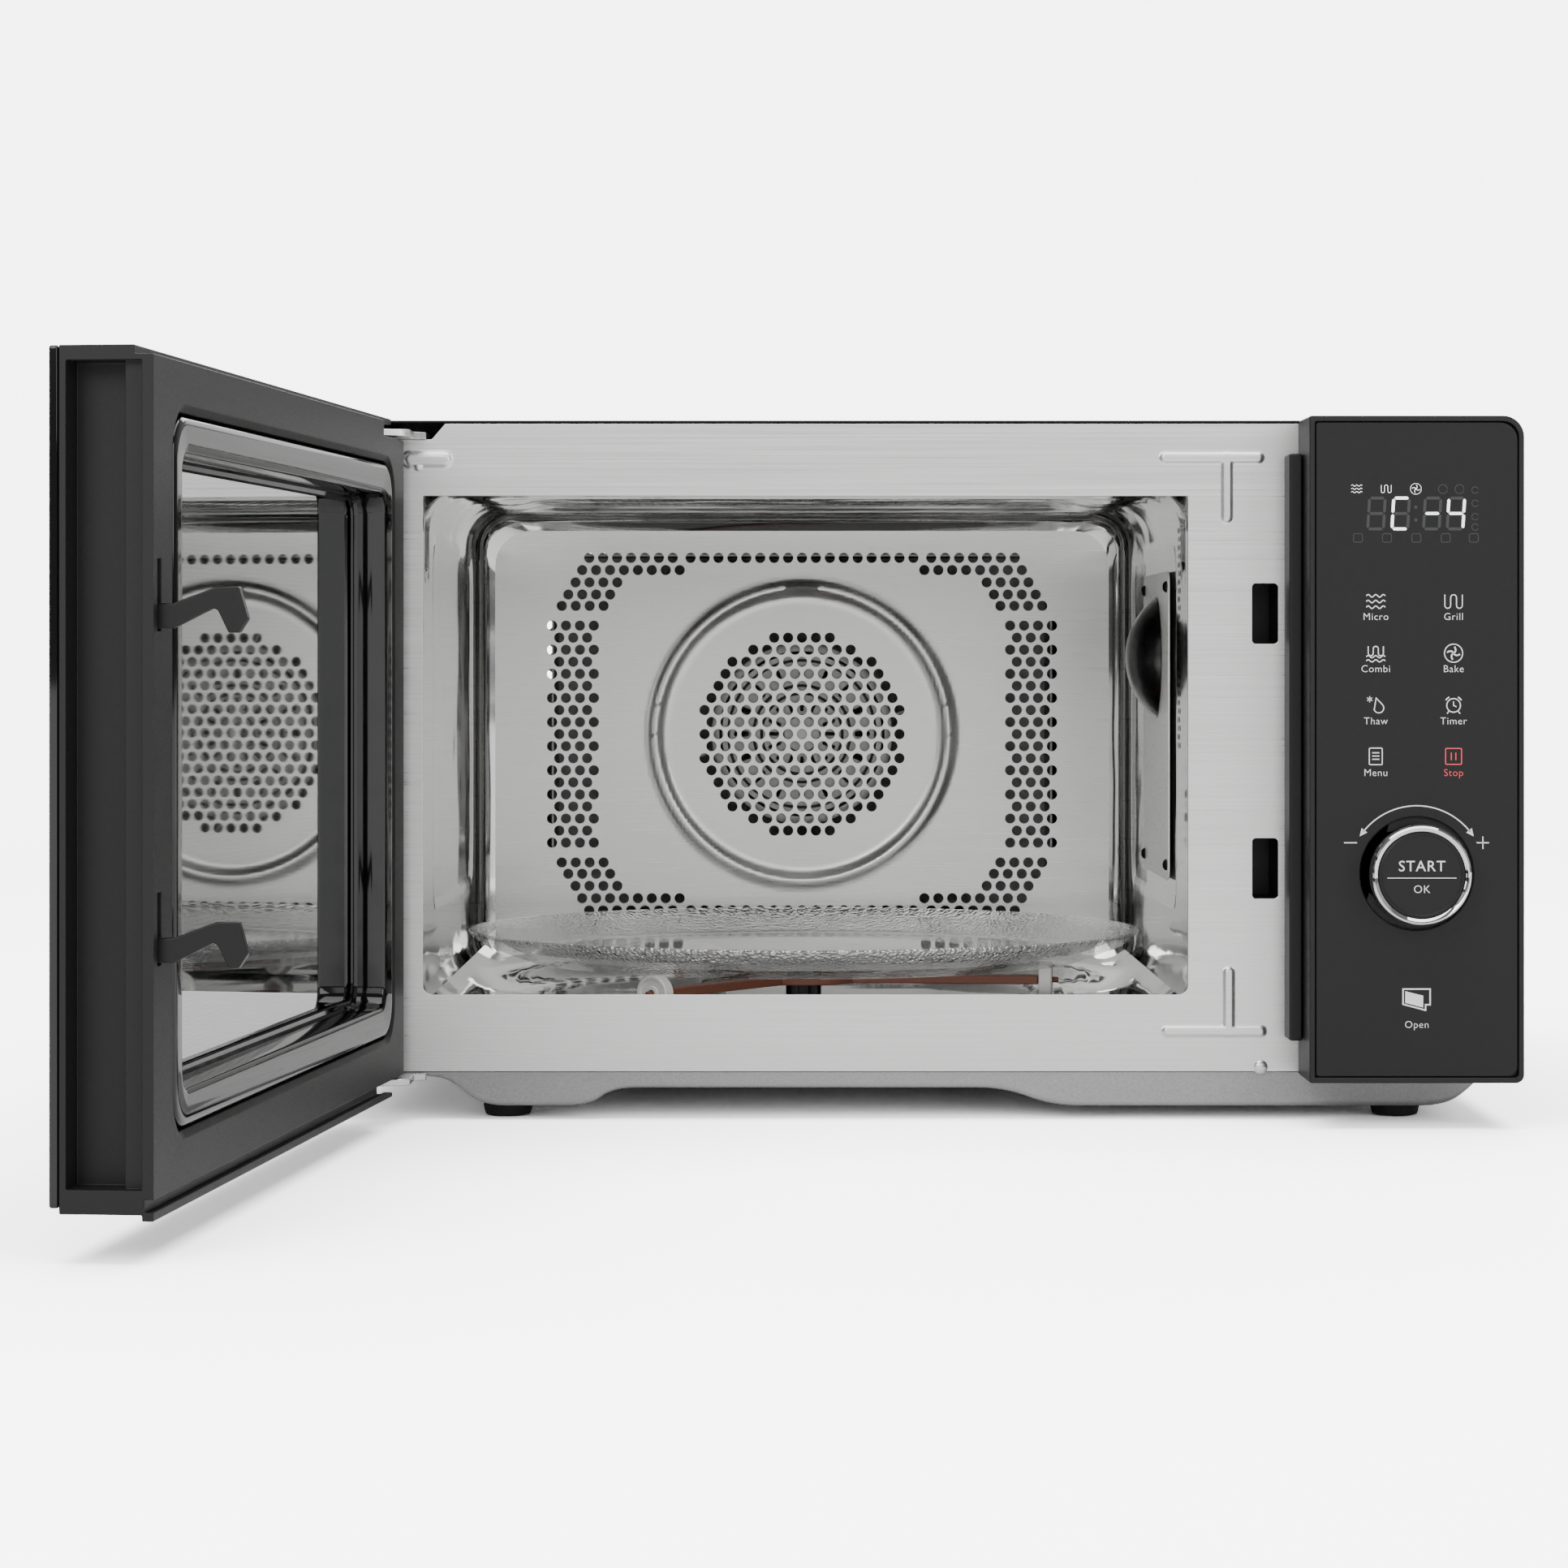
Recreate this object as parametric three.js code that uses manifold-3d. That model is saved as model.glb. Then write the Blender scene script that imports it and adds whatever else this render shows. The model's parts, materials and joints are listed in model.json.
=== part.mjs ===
// A convection microwave oven with its door standing open: cabinet, cavity, turntable, door and
// latch, control panel, and the microwave, convection and cooling parts inside.
// Sizes are in millimetres. X runs across the front, Y into the oven and Z up. The front plate's
// face is Y = 0, the cavity's centre line is X = 0 and the feet stand on Z = 0, until the last
// lines move the origin under the middle of the whole object.
import * as THREE from 'three';
import { mergeVertices } from 'three/addons/utils/BufferGeometryUtils.js';
import Module from 'manifold-3d';

const wasm = await Module();
wasm.setup();

// ---------------------------------------------------------------- driving dimensions
const SHEET = 1; // steel sheet
const GAP = 0.4; // between pieces that touch
const OPENING_WIDTH = 329.5;
const OPENING_HEIGHT = 214.8;
const OPENING_CORNER = 4;
const SILL_HEIGHT = 53.8; // table to the opening's lower edge
const CAVITY_DEPTH = 324;
const TRACK_DROP = 14.3; // opening's lower edge down to the rollers' track
const CEILING_RISE = 4; // opening's upper edge up to the ceiling
const LEFT_MARGIN = 41.5; // opening to the cabinet's left side
const LATCH_MARGIN = 40; // opening to the door's free end
const BUMPER_WIDTH = 5.6; // strip between the door's free end and the control panel
const BUMPER_DEPTH = 17.5;
const PANEL_WIDTH = 90.6;
const PANEL_DEPTH = 37.7;
const PANEL_WALL = 2.4;
const PANEL_CORNER = 9;
const PLATE_ABOVE = 31.2; // opening to the front plate's upper edge
const PLATE_BELOW = 33.1; // opening to the front plate's lower edge
const PAN_FLANGE = 1.2; // base pan's flange under the front plate
const PAN_CLEARANCE = 13.4; // table to the pan's raised middle
const FOOT_HEIGHT = 5.2;
const FOOT_RADIUS = 10.7;

const DOOR_OPEN = 96.16; // degrees the door stands open
const DOOR_GAP = 2.2; // front plate to the closed door
const DOOR_THICKNESS = 35.2;
const DOOR_WALL = 3.2;
const GLASS = 3; // door's front glass
const HINGE_ALONG = 13; // pivot from the door's hinge edge
const HINGE_OUT = 21; // pivot from the door's inner face
const PIN_RADIUS = 2.8;
const BRACKET = 3; // hinge bracket's thickness
const CHOKE_OVERLAP = 15.5; // door's choke frame beyond the opening, each way
const CHOKE_WIDTH = 13.4;
const CHOKE_CORNER = 14;
const WINDOW_RECESS = 15.4; // door's inner face down to the inner glass
const GRIP_DEPTH = 13; // channel along the door's free end

const HOOK_REACH = 30; // latch hook beyond the door's inner face
const HOOK_THICKNESS = 4;
const HOOK_INSET = 7.5; // hook's middle from the door's free end
const HOOK_TRAVEL = 8;
const HOOK_LOWER = 98.4; // height of the lower hook's arm
const HOOK_SPACING = 109.8;
const HOOK_ARM = 8.2;
const RIB_WALL = 1.2; // round the hooks, in the channel along the door's free end

const TRAY_RADIUS = 157.5;
const TRAY_HEIGHT = 15; // underside to rim
const TRAY_BASE = 128; // radius of the flat part
const TRAY_GLASS = 3.6;
const WHEEL_RADIUS = 8.5;
const WHEEL_WIDTH = 6;
const WHEEL_CIRCLE = 114; // radius on which the wheels run
const WHEEL_FIRST = -6; // degrees from +X to the first wheel
const AXLE_RADIUS = 1.4;

const FAN_RADIUS = 60;
const FAN_RING = 83.4; // pressed ring round the fan's air holes
const FAN_NOSE = 8; // front of the duct to the fan's disc
const COIL_GAP = 16; // fan's tip to the heating coil's middle
const COIL_RADIUS = 3.3;
const COIL_ROOM = 11.7; // coil to the duct's floor and roof
const DUCT_DEPTH = 46;
const DUCT_WIDTH = 256;
const FAN_MOTOR_LENGTH = 26;

const KNOB_RADIUS = 21.3;
const KNOB_PROUD = 14.6;
const KNOB_RIM = 2.4;
const KNOB_MARGIN = 2.5; // dark ring round the knob
const KNOB_FROM_LEFT = 45.2;
const KNOB_HEIGHT = 107.9;
const PRESS_TRAVEL = 1.5;

// ---------------------------------------------------------------- places worked out from them
const half = OPENING_WIDTH / 2;
const sill = SILL_HEIGHT;
const lintel = sill + OPENING_HEIGHT;
const track = sill - TRACK_DROP;
const ceiling = lintel + CEILING_RISE;
const plateTop = lintel + PLATE_ABOVE;
const plateBottom = sill - PLATE_BELOW;
const left = -half - LEFT_MARGIN;
const doorEnd = half + LATCH_MARGIN;
const panelLeft = doorEnd + BUMPER_WIDTH + 5 * GAP;
const right = panelLeft + PANEL_WIDTH;
const cavityHalf = half + 0.6;
const cavityFront = SHEET + GAP;
const cavityBack = cavityFront + CAVITY_DEPTH;
const ductFront = cavityBack + SHEET + 2 * GAP;
const ductBack = ductFront + DUCT_DEPTH;
const motorBack = ductBack + GAP + FAN_MOTOR_LENGTH;
const cabinetDepth = motorBack + 4 + SHEET;
const wrapTop = plateTop + GAP + SHEET;
const turntableY = cavityFront + CAVITY_DEPTH / 2;
const fanZ = (sill + lintel) / 2 - 1;
const bayLeft = cavityHalf + SHEET + GAP; // equipment bay between the cavity and the right side
const bayRight = right - SHEET - GAP;
const panFlangeTop = plateBottom - GAP;

// ---------------------------------------------------------------- shape helpers
function solid(geometry) {
  const bare = geometry.clone();
  bare.deleteAttribute('normal');
  bare.deleteAttribute('uv');
  const merged = mergeVertices(bare, 1e-4);
  const index = Array.from(merged.index.array);
  const triangles = [];
  for (let i = 0; i < index.length; i += 3) {
    const [a, b, c] = index.slice(i, i + 3);
    if (a !== b && b !== c && c !== a) triangles.push(a, b, c);
  }
  return new wasm.Manifold(new wasm.Mesh({
    numProp: 3,
    vertProperties: new Float32Array(merged.attributes.position.array),
    triVerts: new Uint32Array(triangles),
  }));
}

function geometryOf(shape) {
  const mesh = shape.getMesh();
  const geometry = new THREE.BufferGeometry();
  geometry.setAttribute('position', new THREE.BufferAttribute(new Float32Array(mesh.vertProperties), 3));
  geometry.setIndex(new THREE.BufferAttribute(new Uint32Array(mesh.triVerts), 1));
  geometry.computeVertexNormals();
  return geometry;
}

const join = (shapes) => shapes.reduce((all, shape) => all.add(shape));
const cut = (shape, tools) => tools.reduce((rest, tool) => rest.subtract(tool), shape);

function box(x0, x1, y0, y1, z0, z1) {
  const geometry = new THREE.BoxGeometry(x1 - x0, y1 - y0, z1 - z0);
  geometry.translate((x0 + x1) / 2, (y0 + y1) / 2, (z0 + z1) / 2);
  return solid(geometry);
}

// A cylinder from its middle, along 'x', 'y' or 'z'.
function rod(axis, x, y, z, radius, length, segments = 24) {
  const geometry = new THREE.CylinderGeometry(radius, radius, length, segments);
  if (axis === 'x') geometry.rotateZ(Math.PI / 2);
  if (axis === 'z') geometry.rotateX(Math.PI / 2);
  geometry.translate(x, y, z);
  return solid(geometry);
}

// A turned piece: points are [radius, distance along the axis], in either direction round.
function turned(axis, points, x, y, z, segments = 32) {
  const profile = points.map(([r, h]) => new THREE.Vector2(r, h));
  if (THREE.ShapeUtils.area(profile) < 0) profile.reverse();
  const geometry = new THREE.LatheGeometry(profile, segments);
  if (axis === 'x') geometry.rotateZ(-Math.PI / 2);
  if (axis === 'z') geometry.rotateX(Math.PI / 2);
  geometry.translate(x, y, z);
  return solid(geometry);
}

function outline(points) {
  return new THREE.Shape(points.map(([u, v]) => new THREE.Vector2(u, v)));
}

function roundedOutline(u0, u1, v0, v1, lowLeft, lowRight = lowLeft, topRight = lowLeft,
  topLeft = lowLeft) {
  const shape = new THREE.Shape();
  shape.moveTo(u0 + lowLeft, v0);
  shape.lineTo(u1 - lowRight, v0);
  if (lowRight) shape.absarc(u1 - lowRight, v0 + lowRight, lowRight, -Math.PI / 2, 0);
  shape.lineTo(u1, v1 - topRight);
  if (topRight) shape.absarc(u1 - topRight, v1 - topRight, topRight, 0, Math.PI / 2);
  shape.lineTo(u0 + topLeft, v1);
  if (topLeft) shape.absarc(u0 + topLeft, v1 - topLeft, topLeft, Math.PI / 2, Math.PI);
  shape.lineTo(u0, v0 + lowLeft);
  if (lowLeft) shape.absarc(u0 + lowLeft, v0 + lowLeft, lowLeft, Math.PI, Math.PI * 1.5);
  return shape;
}

// Extrusions of an outline in X and Z along Y, and of one in X and Y along Z.
function slabY(shape, y0, y1, curveSegments = 4) {
  const geometry = new THREE.ExtrudeGeometry(shape, { depth: y1 - y0, bevelEnabled: false, curveSegments });
  geometry.rotateX(Math.PI / 2);
  geometry.translate(0, y1, 0);
  return solid(geometry);
}

function slabZ(shape, z0, z1, curveSegments = 6) {
  const geometry = new THREE.ExtrudeGeometry(shape, { depth: z1 - z0, bevelEnabled: false, curveSegments });
  geometry.translate(0, 0, z0);
  return solid(geometry);
}

const oven = new THREE.Group();

function part(name, shape, color, roughness, metalness, parent = oven) {
  const material = new THREE.MeshStandardMaterial({ color, roughness, metalness });
  const mesh = new THREE.Mesh(geometryOf(shape), material);
  mesh.name = name;
  parent.add(mesh);
  return mesh;
}

// ---------------------------------------------------------------- cabinet
function cabinet() {
  const outer = box(left, right, 0, cabinetDepth, plateBottom, wrapTop);
  const inner = box(left + SHEET, right - SHEET, -1, cabinetDepth + 1, plateBottom - 1, wrapTop - SHEET);
  part('outer_cabinet', outer.subtract(inner), 0x202123, 0.45, 0.3);

  const edge = SHEET + GAP;
  const hookSlots = [0, 1].map((step) => {
    const low = HOOK_LOWER - 3.2 + step * HOOK_SPACING;
    const middle = doorEnd - HOOK_INSET;
    return slabY(roundedOutline(middle - 4.6, middle + 6.4, low, low + 25.9, 1.6), -1, SHEET + 1, 2);
  });
  const notchBottom = plateTop - 6.8;
  const notch = slabY(outline([
    [left, notchBottom], [-half + 3.6, notchBottom], [-half + 10.4, plateTop + 1], [left, plateTop + 1],
  ]), -1, SHEET + 1);
  const opening = slabY(roundedOutline(-half, half, sill, lintel, OPENING_CORNER, OPENING_CORNER, 0.4, 0.4),
    -1, SHEET + 1);
  const plate = box(left + edge, right - edge, 0, SHEET, plateBottom, plateTop);
  part('front_plate', cut(plate, [opening, notch, ...hookSlots]), 0xcfcfcf, 0.32, 1);

  const inlet = rod('y', bayRight - 32, cabinetDepth, plateBottom + 34, 6.4, 10, 16);
  const back = box(left + edge, right - edge, cabinetDepth - SHEET, cabinetDepth, plateBottom, plateTop);
  part('rear_panel', back.subtract(inlet), 0xb9bcbe, 0.4, 0.9);
  const gland = join([
    rod('y', bayRight - 32, cabinetDepth + 1.7, plateBottom + 34, 9, 2.6, 16),
    rod('y', bayRight - 32, cabinetDepth - 3, plateBottom + 34, 6, 12, 16),
  ]);
  const cordBore = rod('y', bayRight - 32, cabinetDepth, plateBottom + 34, 4, 40, 12);
  part('cord_gland', gland.subtract(cordBore), 0x1a1a1a, 0.6, 0);
}

// ---------------------------------------------------------------- base pan and feet
const legBottom = FOOT_HEIGHT + GAP;
const legOutlines = [
  { from: left + 45, low: [left + 66, left + 113.5], to: left + 123 },
  { from: half - 79, low: [half - 58, right - 26], to: right - 12 },
];

function basePan() {
  const under = [[left + GAP, panFlangeTop - PAN_FLANGE]];
  const [first, second] = legOutlines;
  under.push([first.from, panFlangeTop - PAN_FLANGE - 0.6], [first.from + 9, panFlangeTop - 4]);
  under.push([first.low[0], legBottom], [first.low[1], legBottom], [first.to, PAN_CLEARANCE]);
  under.push([second.from, PAN_CLEARANCE], [second.low[0], legBottom], [second.low[1], legBottom]);
  under.push([second.to - 2, panFlangeTop - PAN_FLANGE - 4], [second.to, panFlangeTop - PAN_FLANGE]);
  under.push([right - GAP, panFlangeTop - PAN_FLANGE]);
  const closed = [...under, [right - GAP, panFlangeTop], [left + GAP, panFlangeTop]];
  const inside = under.map(([x, z]) => [x, z + PAN_FLANGE]);
  const hollow = [...inside, [right + 1, panFlangeTop], [right + 1, panFlangeTop + 9],
    [left - 1, panFlangeTop + 9], [left - 1, panFlangeTop]];
  const body = slabY(outline(closed), SHEET, cabinetDepth - SHEET);
  const room = slabY(outline(hollow), 2 * SHEET, cabinetDepth - 2 * SHEET);
  part('base_pan', body.subtract(room), 0xb4b4b3, 0.6, 0.6);

  const rows = [{ end: 'front', y: 22 }, { end: 'rear', y: cabinetDepth - 25 }];
  const sides = [{ side: 'left', x: left + 76.7 }, { side: 'right', x: right - 45.8 }];
  for (const { end, y } of rows) {
    for (const { side, x } of sides) {
      const foot = turned('z', [
        [0, 0], [FOOT_RADIUS - 1.2, 0], [FOOT_RADIUS, 1], [FOOT_RADIUS, FOOT_HEIGHT], [0, FOOT_HEIGHT],
      ], x, y, 0, 20);
      part(`foot_${end}_${side}`, foot, 0x1b1b1b, 0.75, 0);
    }
  }
}

// ---------------------------------------------------------------- cavity
// The waveguide's mouth in the right wall.
const mouth = { y0: turntableY - 24, y1: turntableY + 34, z0: fanZ - 8, z1: fanZ + 42 };
const grillPort = { halfWidth: 112, y0: turntableY - 62, y1: turntableY + 58 };
const lampPort = { y: 54, z: fanZ + 50, radius: 12 };

function cavity() {
  const outer = box(-cavityHalf - SHEET, cavityHalf + SHEET, cavityFront, cavityBack,
    track - SHEET, ceiling + SHEET);
  const inner = box(-cavityHalf, cavityHalf, cavityFront - 1, cavityBack + 1, track, ceiling);
  const openings = [
    inner,
    rod('z', 0, turntableY, track, 9, 10, 20),
    box(cavityHalf - 5, cavityHalf + 5, mouth.y0, mouth.y1, mouth.z0, mouth.z1),
    box(-grillPort.halfWidth, grillPort.halfWidth, grillPort.y0, grillPort.y1, ceiling - 5, ceiling + 5),
    rod('x', cavityHalf, lampPort.y, lampPort.z, lampPort.radius, 10, 16),
  ];
  part('cavity_liner', cut(outer, openings), 0xc9cacb, 0.16, 1);

  const wallFront = cavityBack + GAP;
  const wall = box(-cavityHalf - SHEET, cavityHalf + SHEET, wallFront, wallFront + SHEET,
    track - SHEET, ceiling + SHEET);
  const bead = turned('y', [
    [FAN_RING - 8, 0.5], [FAN_RING - 6, -2], [FAN_RING - 2, -2], [FAN_RING, 0.5], [FAN_RING - 8, 0.5],
  ], 0, wallFront, fanZ, 36);
  part('cavity_back_wall', wall.add(bead), 0xcdcdcd, 0.25, 1);

  const mica = box(cavityHalf - 1.1, cavityHalf - GAP, turntableY - 80, turntableY + 44,
    fanZ - 62, fanZ + 78);
  const domeAt = { y: turntableY - 22, z: fanZ + 39 };
  const domeHole = rod('x', cavityHalf, domeAt.y, domeAt.z, 14, 8, 20);
  part('waveguide_cover', mica.subtract(domeHole), 0xa8a6a0, 0.7, 0);
  const capRadius = 28;
  const capHeight = 14;
  const bulge = (capRadius ** 2 + capHeight ** 2) / (2 * capHeight);
  const profile = [[0, 0], [capRadius, 0]];
  for (let step = 1; step <= 4; step += 1) {
    const reach = Math.asin(capRadius / bulge) * (1 - step / 4);
    profile.push([bulge * Math.sin(reach), bulge - bulge * Math.cos(reach) - capHeight]);
  }
  const dome = turned('x', profile, cavityHalf - 1.1 - GAP, domeAt.y, domeAt.z, 28);
  part('stirrer_dome', dome, 0x8d8f91, 0.12, 1);

  const grille = box(-grillPort.halfWidth + GAP, grillPort.halfWidth - GAP,
    grillPort.y0 + GAP, grillPort.y1 - GAP, ceiling, ceiling + SHEET);
  part('ceiling_grille', grille, 0xb8b9ba, 0.25, 1);
  const bend = 30;
  const reach = grillPort.halfWidth - 16;
  const heaterZ = ceiling + 10;
  const path = new THREE.CatmullRomCurve3([
    [reach + 8, turntableY - bend], [-reach + bend, turntableY - bend], [-reach, turntableY],
    [-reach + bend, turntableY + bend], [reach + 8, turntableY + bend],
  ].map(([x, y]) => new THREE.Vector3(x, y, heaterZ)), false, 'centripetal');
  const section = new THREE.Shape().absarc(0, 0, 3.2, 0, Math.PI * 2);
  const element = new THREE.ExtrudeGeometry(section, { steps: 24, curveSegments: 4, extrudePath: path });
  part('grill_heater', solid(element), 0x6a5a50, 0.5, 0.6);

  const lamp = join([
    rod('x', bayLeft + 17, lampPort.y, lampPort.z, 9, 20, 16),
    rod('x', bayLeft + 5, lampPort.y, lampPort.z, 7, 8, 16),
  ]);
  part('cavity_lamp', lamp, 0xe9e2d0, 0.3, 0);
}

// ---------------------------------------------------------------- turntable
const wheelTop = track + GAP + 2 * WHEEL_RADIUS;
const wheelAxis = track + GAP + WHEEL_RADIUS;
const trayUnder = wheelTop + GAP;

function turntable() {
  const motor = rod('z', 0, turntableY, (panFlangeTop + 1 + track - SHEET - GAP) / 2, 25,
    track - SHEET - GAP - panFlangeTop - 1, 24);
  part('turntable_motor', motor.subtract(rod('z', 0, turntableY, track, 3.4, 22, 12)), 0xb7b7b2, 0.5, 0.6);
  const lobes = [0, 1, 2].map((lobe) => {
    const angle = (lobe / 3) * Math.PI * 2 + Math.PI / 2;
    return rod('z', 5.4 * Math.cos(angle), turntableY + 5.4 * Math.sin(angle), track + 8.2, 3.6, 15.4, 12);
  });
  const coupler = join([
    ...lobes,
    rod('z', 0, turntableY, track + 8.2, 5.4, 15.4, 18),
    rod('z', 0, turntableY, track - 1, 3, 12, 12),
  ]);
  part('turntable_coupler', coupler, 0x232323, 0.55, 0);

  const boss = turned('z', [[10.6, 0], [13.4, 0], [13.4, 3.5], [10.6, 3.5], [10.6, 0]]
    , 0, turntableY, trayUnder - 2.6, 24);
  const dish = turned('z', [
    [0, 0], [TRAY_BASE, 0], [TRAY_RADIUS - 7, TRAY_HEIGHT * 0.55], [TRAY_RADIUS, TRAY_HEIGHT - 1.8],
    [TRAY_RADIUS - 0.4, TRAY_HEIGHT], [TRAY_RADIUS - 2.8, TRAY_HEIGHT],
    [TRAY_RADIUS - 9, TRAY_HEIGHT * 0.55 + TRAY_GLASS - 0.8],
    [TRAY_BASE - 1.5, TRAY_GLASS], [0, TRAY_GLASS],
  ], 0, turntableY, trayUnder, 56);
  part('glass_tray', dish.add(boss), 0xdfe6e4, 0.05, 0);

  const ringTop = wheelAxis + 2;
  const spiderRing = turned('z', [[17, 0], [24, 0], [24, 4], [17, 4], [17, 0]],
    0, turntableY, wheelAxis - 2, 24);
  const arms = [];
  for (let step = 0; step < 3; step += 1) {
    const angle = WHEEL_FIRST + step * 120;
    const inner = WHEEL_CIRCLE - WHEEL_WIDTH / 2 - GAP;
    const place = (shape) => shape.rotate([0, 0, angle]).translate([0, turntableY, 0]);
    arms.push(place(box(21, inner, -5, 5, ringTop - 4, ringTop)));
    arms.push(place(rod('x', WHEEL_CIRCLE, 0, wheelAxis, AXLE_RADIUS, WHEEL_WIDTH + 6, 12)));
    const bore = AXLE_RADIUS + GAP;
    const wheel = turned('x', [
      [bore, -WHEEL_WIDTH / 2], [WHEEL_RADIUS, -WHEEL_WIDTH / 2], [WHEEL_RADIUS, WHEEL_WIDTH / 2],
      [bore, WHEEL_WIDTH / 2], [bore, -WHEEL_WIDTH / 2],
    ], WHEEL_CIRCLE, 0, wheelAxis, 24);
    part(`roller_wheel_${step + 1}`, place(wheel), 0xe8e8e6, 0.45, 0);
  }
  part('roller_spider', join([spiderRing, ...arms]), 0x7a4c3a, 0.55, 0);
}

// ---------------------------------------------------------------- convection fan and heater
function convection() {
  const halfWidth = DUCT_WIDTH / 2;
  const coilReach = FAN_RADIUS + COIL_GAP;
  const halfHeight = coilReach + COIL_RADIUS + COIL_ROOM + SHEET;
  const duct = box(-halfWidth, halfWidth, ductFront, ductBack, fanZ - halfHeight, fanZ + halfHeight);
  const room = box(-halfWidth + SHEET, halfWidth - SHEET, ductFront - 1, ductBack - SHEET,
    fanZ - halfHeight + SHEET, fanZ + halfHeight - SHEET);
  const shaftHole = rod('y', 0, ductBack, fanZ, 6, 10, 16);
  part('convection_duct', cut(duct, [room, shaftHole]), 0xa9abac, 0.4, 0.9);

  const discY = ductFront + FAN_NOSE;
  const blades = [];
  for (let blade = 0; blade < 8; blade += 1) {
    blades.push(box(20, FAN_RADIUS, -0.6, 0.6, -8, 8).rotate([90, 0, 0]).rotate([0, blade * 45, 0])
      .translate([0, discY + 8.6, fanZ]));
  }
  const fan = join([
    rod('y', 0, discY + 0.6, fanZ, FAN_RADIUS, 1.2, 32),
    rod('y', 0, discY - 3, fanZ, 9, 8, 16),
    rod('y', 0, (discY + ductBack + 12) / 2, fanZ, 3, ductBack + 12 - discY, 12),
    ...blades,
  ]);
  part('convection_fan', fan, 0xb9babb, 0.35, 0.9);

  const coil = turned('y', Array.from({ length: 7 }, (_, step) => {
    const angle = (step / 6) * Math.PI * 2;
    return [coilReach + COIL_RADIUS * Math.cos(angle), COIL_RADIUS * Math.sin(angle)];
  }), 0, ductFront + 15, fanZ, 36);
  part('convection_heater', coil, 0x5c5450, 0.5, 0.6);

  const motor = rod('y', 0, ductBack + GAP + FAN_MOTOR_LENGTH / 2, fanZ, 27, FAN_MOTOR_LENGTH, 24);
  part('convection_motor', motor.subtract(rod('y', 0, ductBack, fanZ, 3.4, 30, 12)), 0x8f9295, 0.45, 0.7);
}

// ---------------------------------------------------------------- microwave parts
function microwaveParts() {
  const guideDepth = 28;
  const guide = box(bayLeft, bayLeft + guideDepth, mouth.y0 - 8, mouth.y1 + 8, mouth.z0 - 6, mouth.z1 + 6);
  const guideRoom = box(bayLeft - 1, bayLeft + guideDepth - SHEET, mouth.y0, mouth.y1, mouth.z0, mouth.z1);
  const tubeY = (mouth.y0 + mouth.y1) / 2;
  const tubeZ = (mouth.z0 + mouth.z1) / 2;
  const antennaHole = rod('x', bayLeft + guideDepth, tubeY, tubeZ, 8, 30, 16);
  part('waveguide', cut(guide, [guideRoom, antennaHole]), 0xb2b4b6, 0.4, 0.9);

  const yokeLeft = bayLeft + guideDepth + GAP;
  const yoke = box(yokeLeft, yokeLeft + 56, tubeY - 40, tubeY + 40, tubeZ - 34, tubeZ + 34);
  const yokeRoom = box(yokeLeft + 1.5, yokeLeft + 54.5, tubeY - 50, tubeY + 50, tubeZ - 32.5, tubeZ + 32.5);
  const yokeHole = rod('x', yokeLeft, tubeY, tubeZ, 8, 12, 16);
  part('magnetron_yoke', cut(yoke, [yokeRoom, yokeHole]), 0xa4a6a8, 0.45, 0.8);
  const tube = join([
    rod('x', yokeLeft + 28, tubeY, tubeZ, 17, 50, 24),
    rod('x', yokeLeft - 4, tubeY, tubeZ, 7, 24, 16),
  ]);
  part('magnetron_tube', tube, 0xb86f4a, 0.4, 0.9);
  const plates = [];
  for (let plate = 0; plate < 5; plate += 1) {
    const x = yokeLeft + 10 + plate * 8.75;
    plates.push(box(x, x + 0.9, tubeY - 28, tubeY + 28, tubeZ - 28, tubeZ + 28));
  }
  const ties = [-1, 1].map((side) => box(yokeLeft + 10, yokeLeft + 45.9, tubeY - 2, tubeY + 2,
    tubeZ + side * 27 - 1, tubeZ + side * 27 + 1));
  const fins = join([...plates, ...ties]).subtract(rod('x', yokeLeft + 28, tubeY, tubeZ, 17.4, 60, 16));
  part('magnetron_fins', fins, 0xc6c8ca, 0.4, 0.9);

  const floor = panFlangeTop + 1;
  const coreLeft = bayLeft + 38;
  const core = join([
    box(coreLeft, coreLeft + 84, 212, 268, floor, floor + 66),
    box(coreLeft + 14, coreLeft + 70, 200, 280, floor + 12, floor + 54),
  ]);
  part('hv_transformer', core, 0x6e4a34, 0.5, 0.5);
  const can = slabZ(roundedOutline(bayLeft + 44, bayLeft + 94, 84, 172, 16), floor, floor + 34, 4);
  part('hv_capacitor', can, 0xbfc1c2, 0.35, 0.9);
  part('hv_diode', rod('x', bayLeft + 70, 184, floor + 12, 4.2, 22, 12), 0x1c1c1c, 0.5, 0);
}

// ---------------------------------------------------------------- cooling fan
const coolFan = { x: (bayLeft + bayRight) / 2 + 8, y: cabinetDepth - 42, z: fanZ + 28, radius: 40 };

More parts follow.
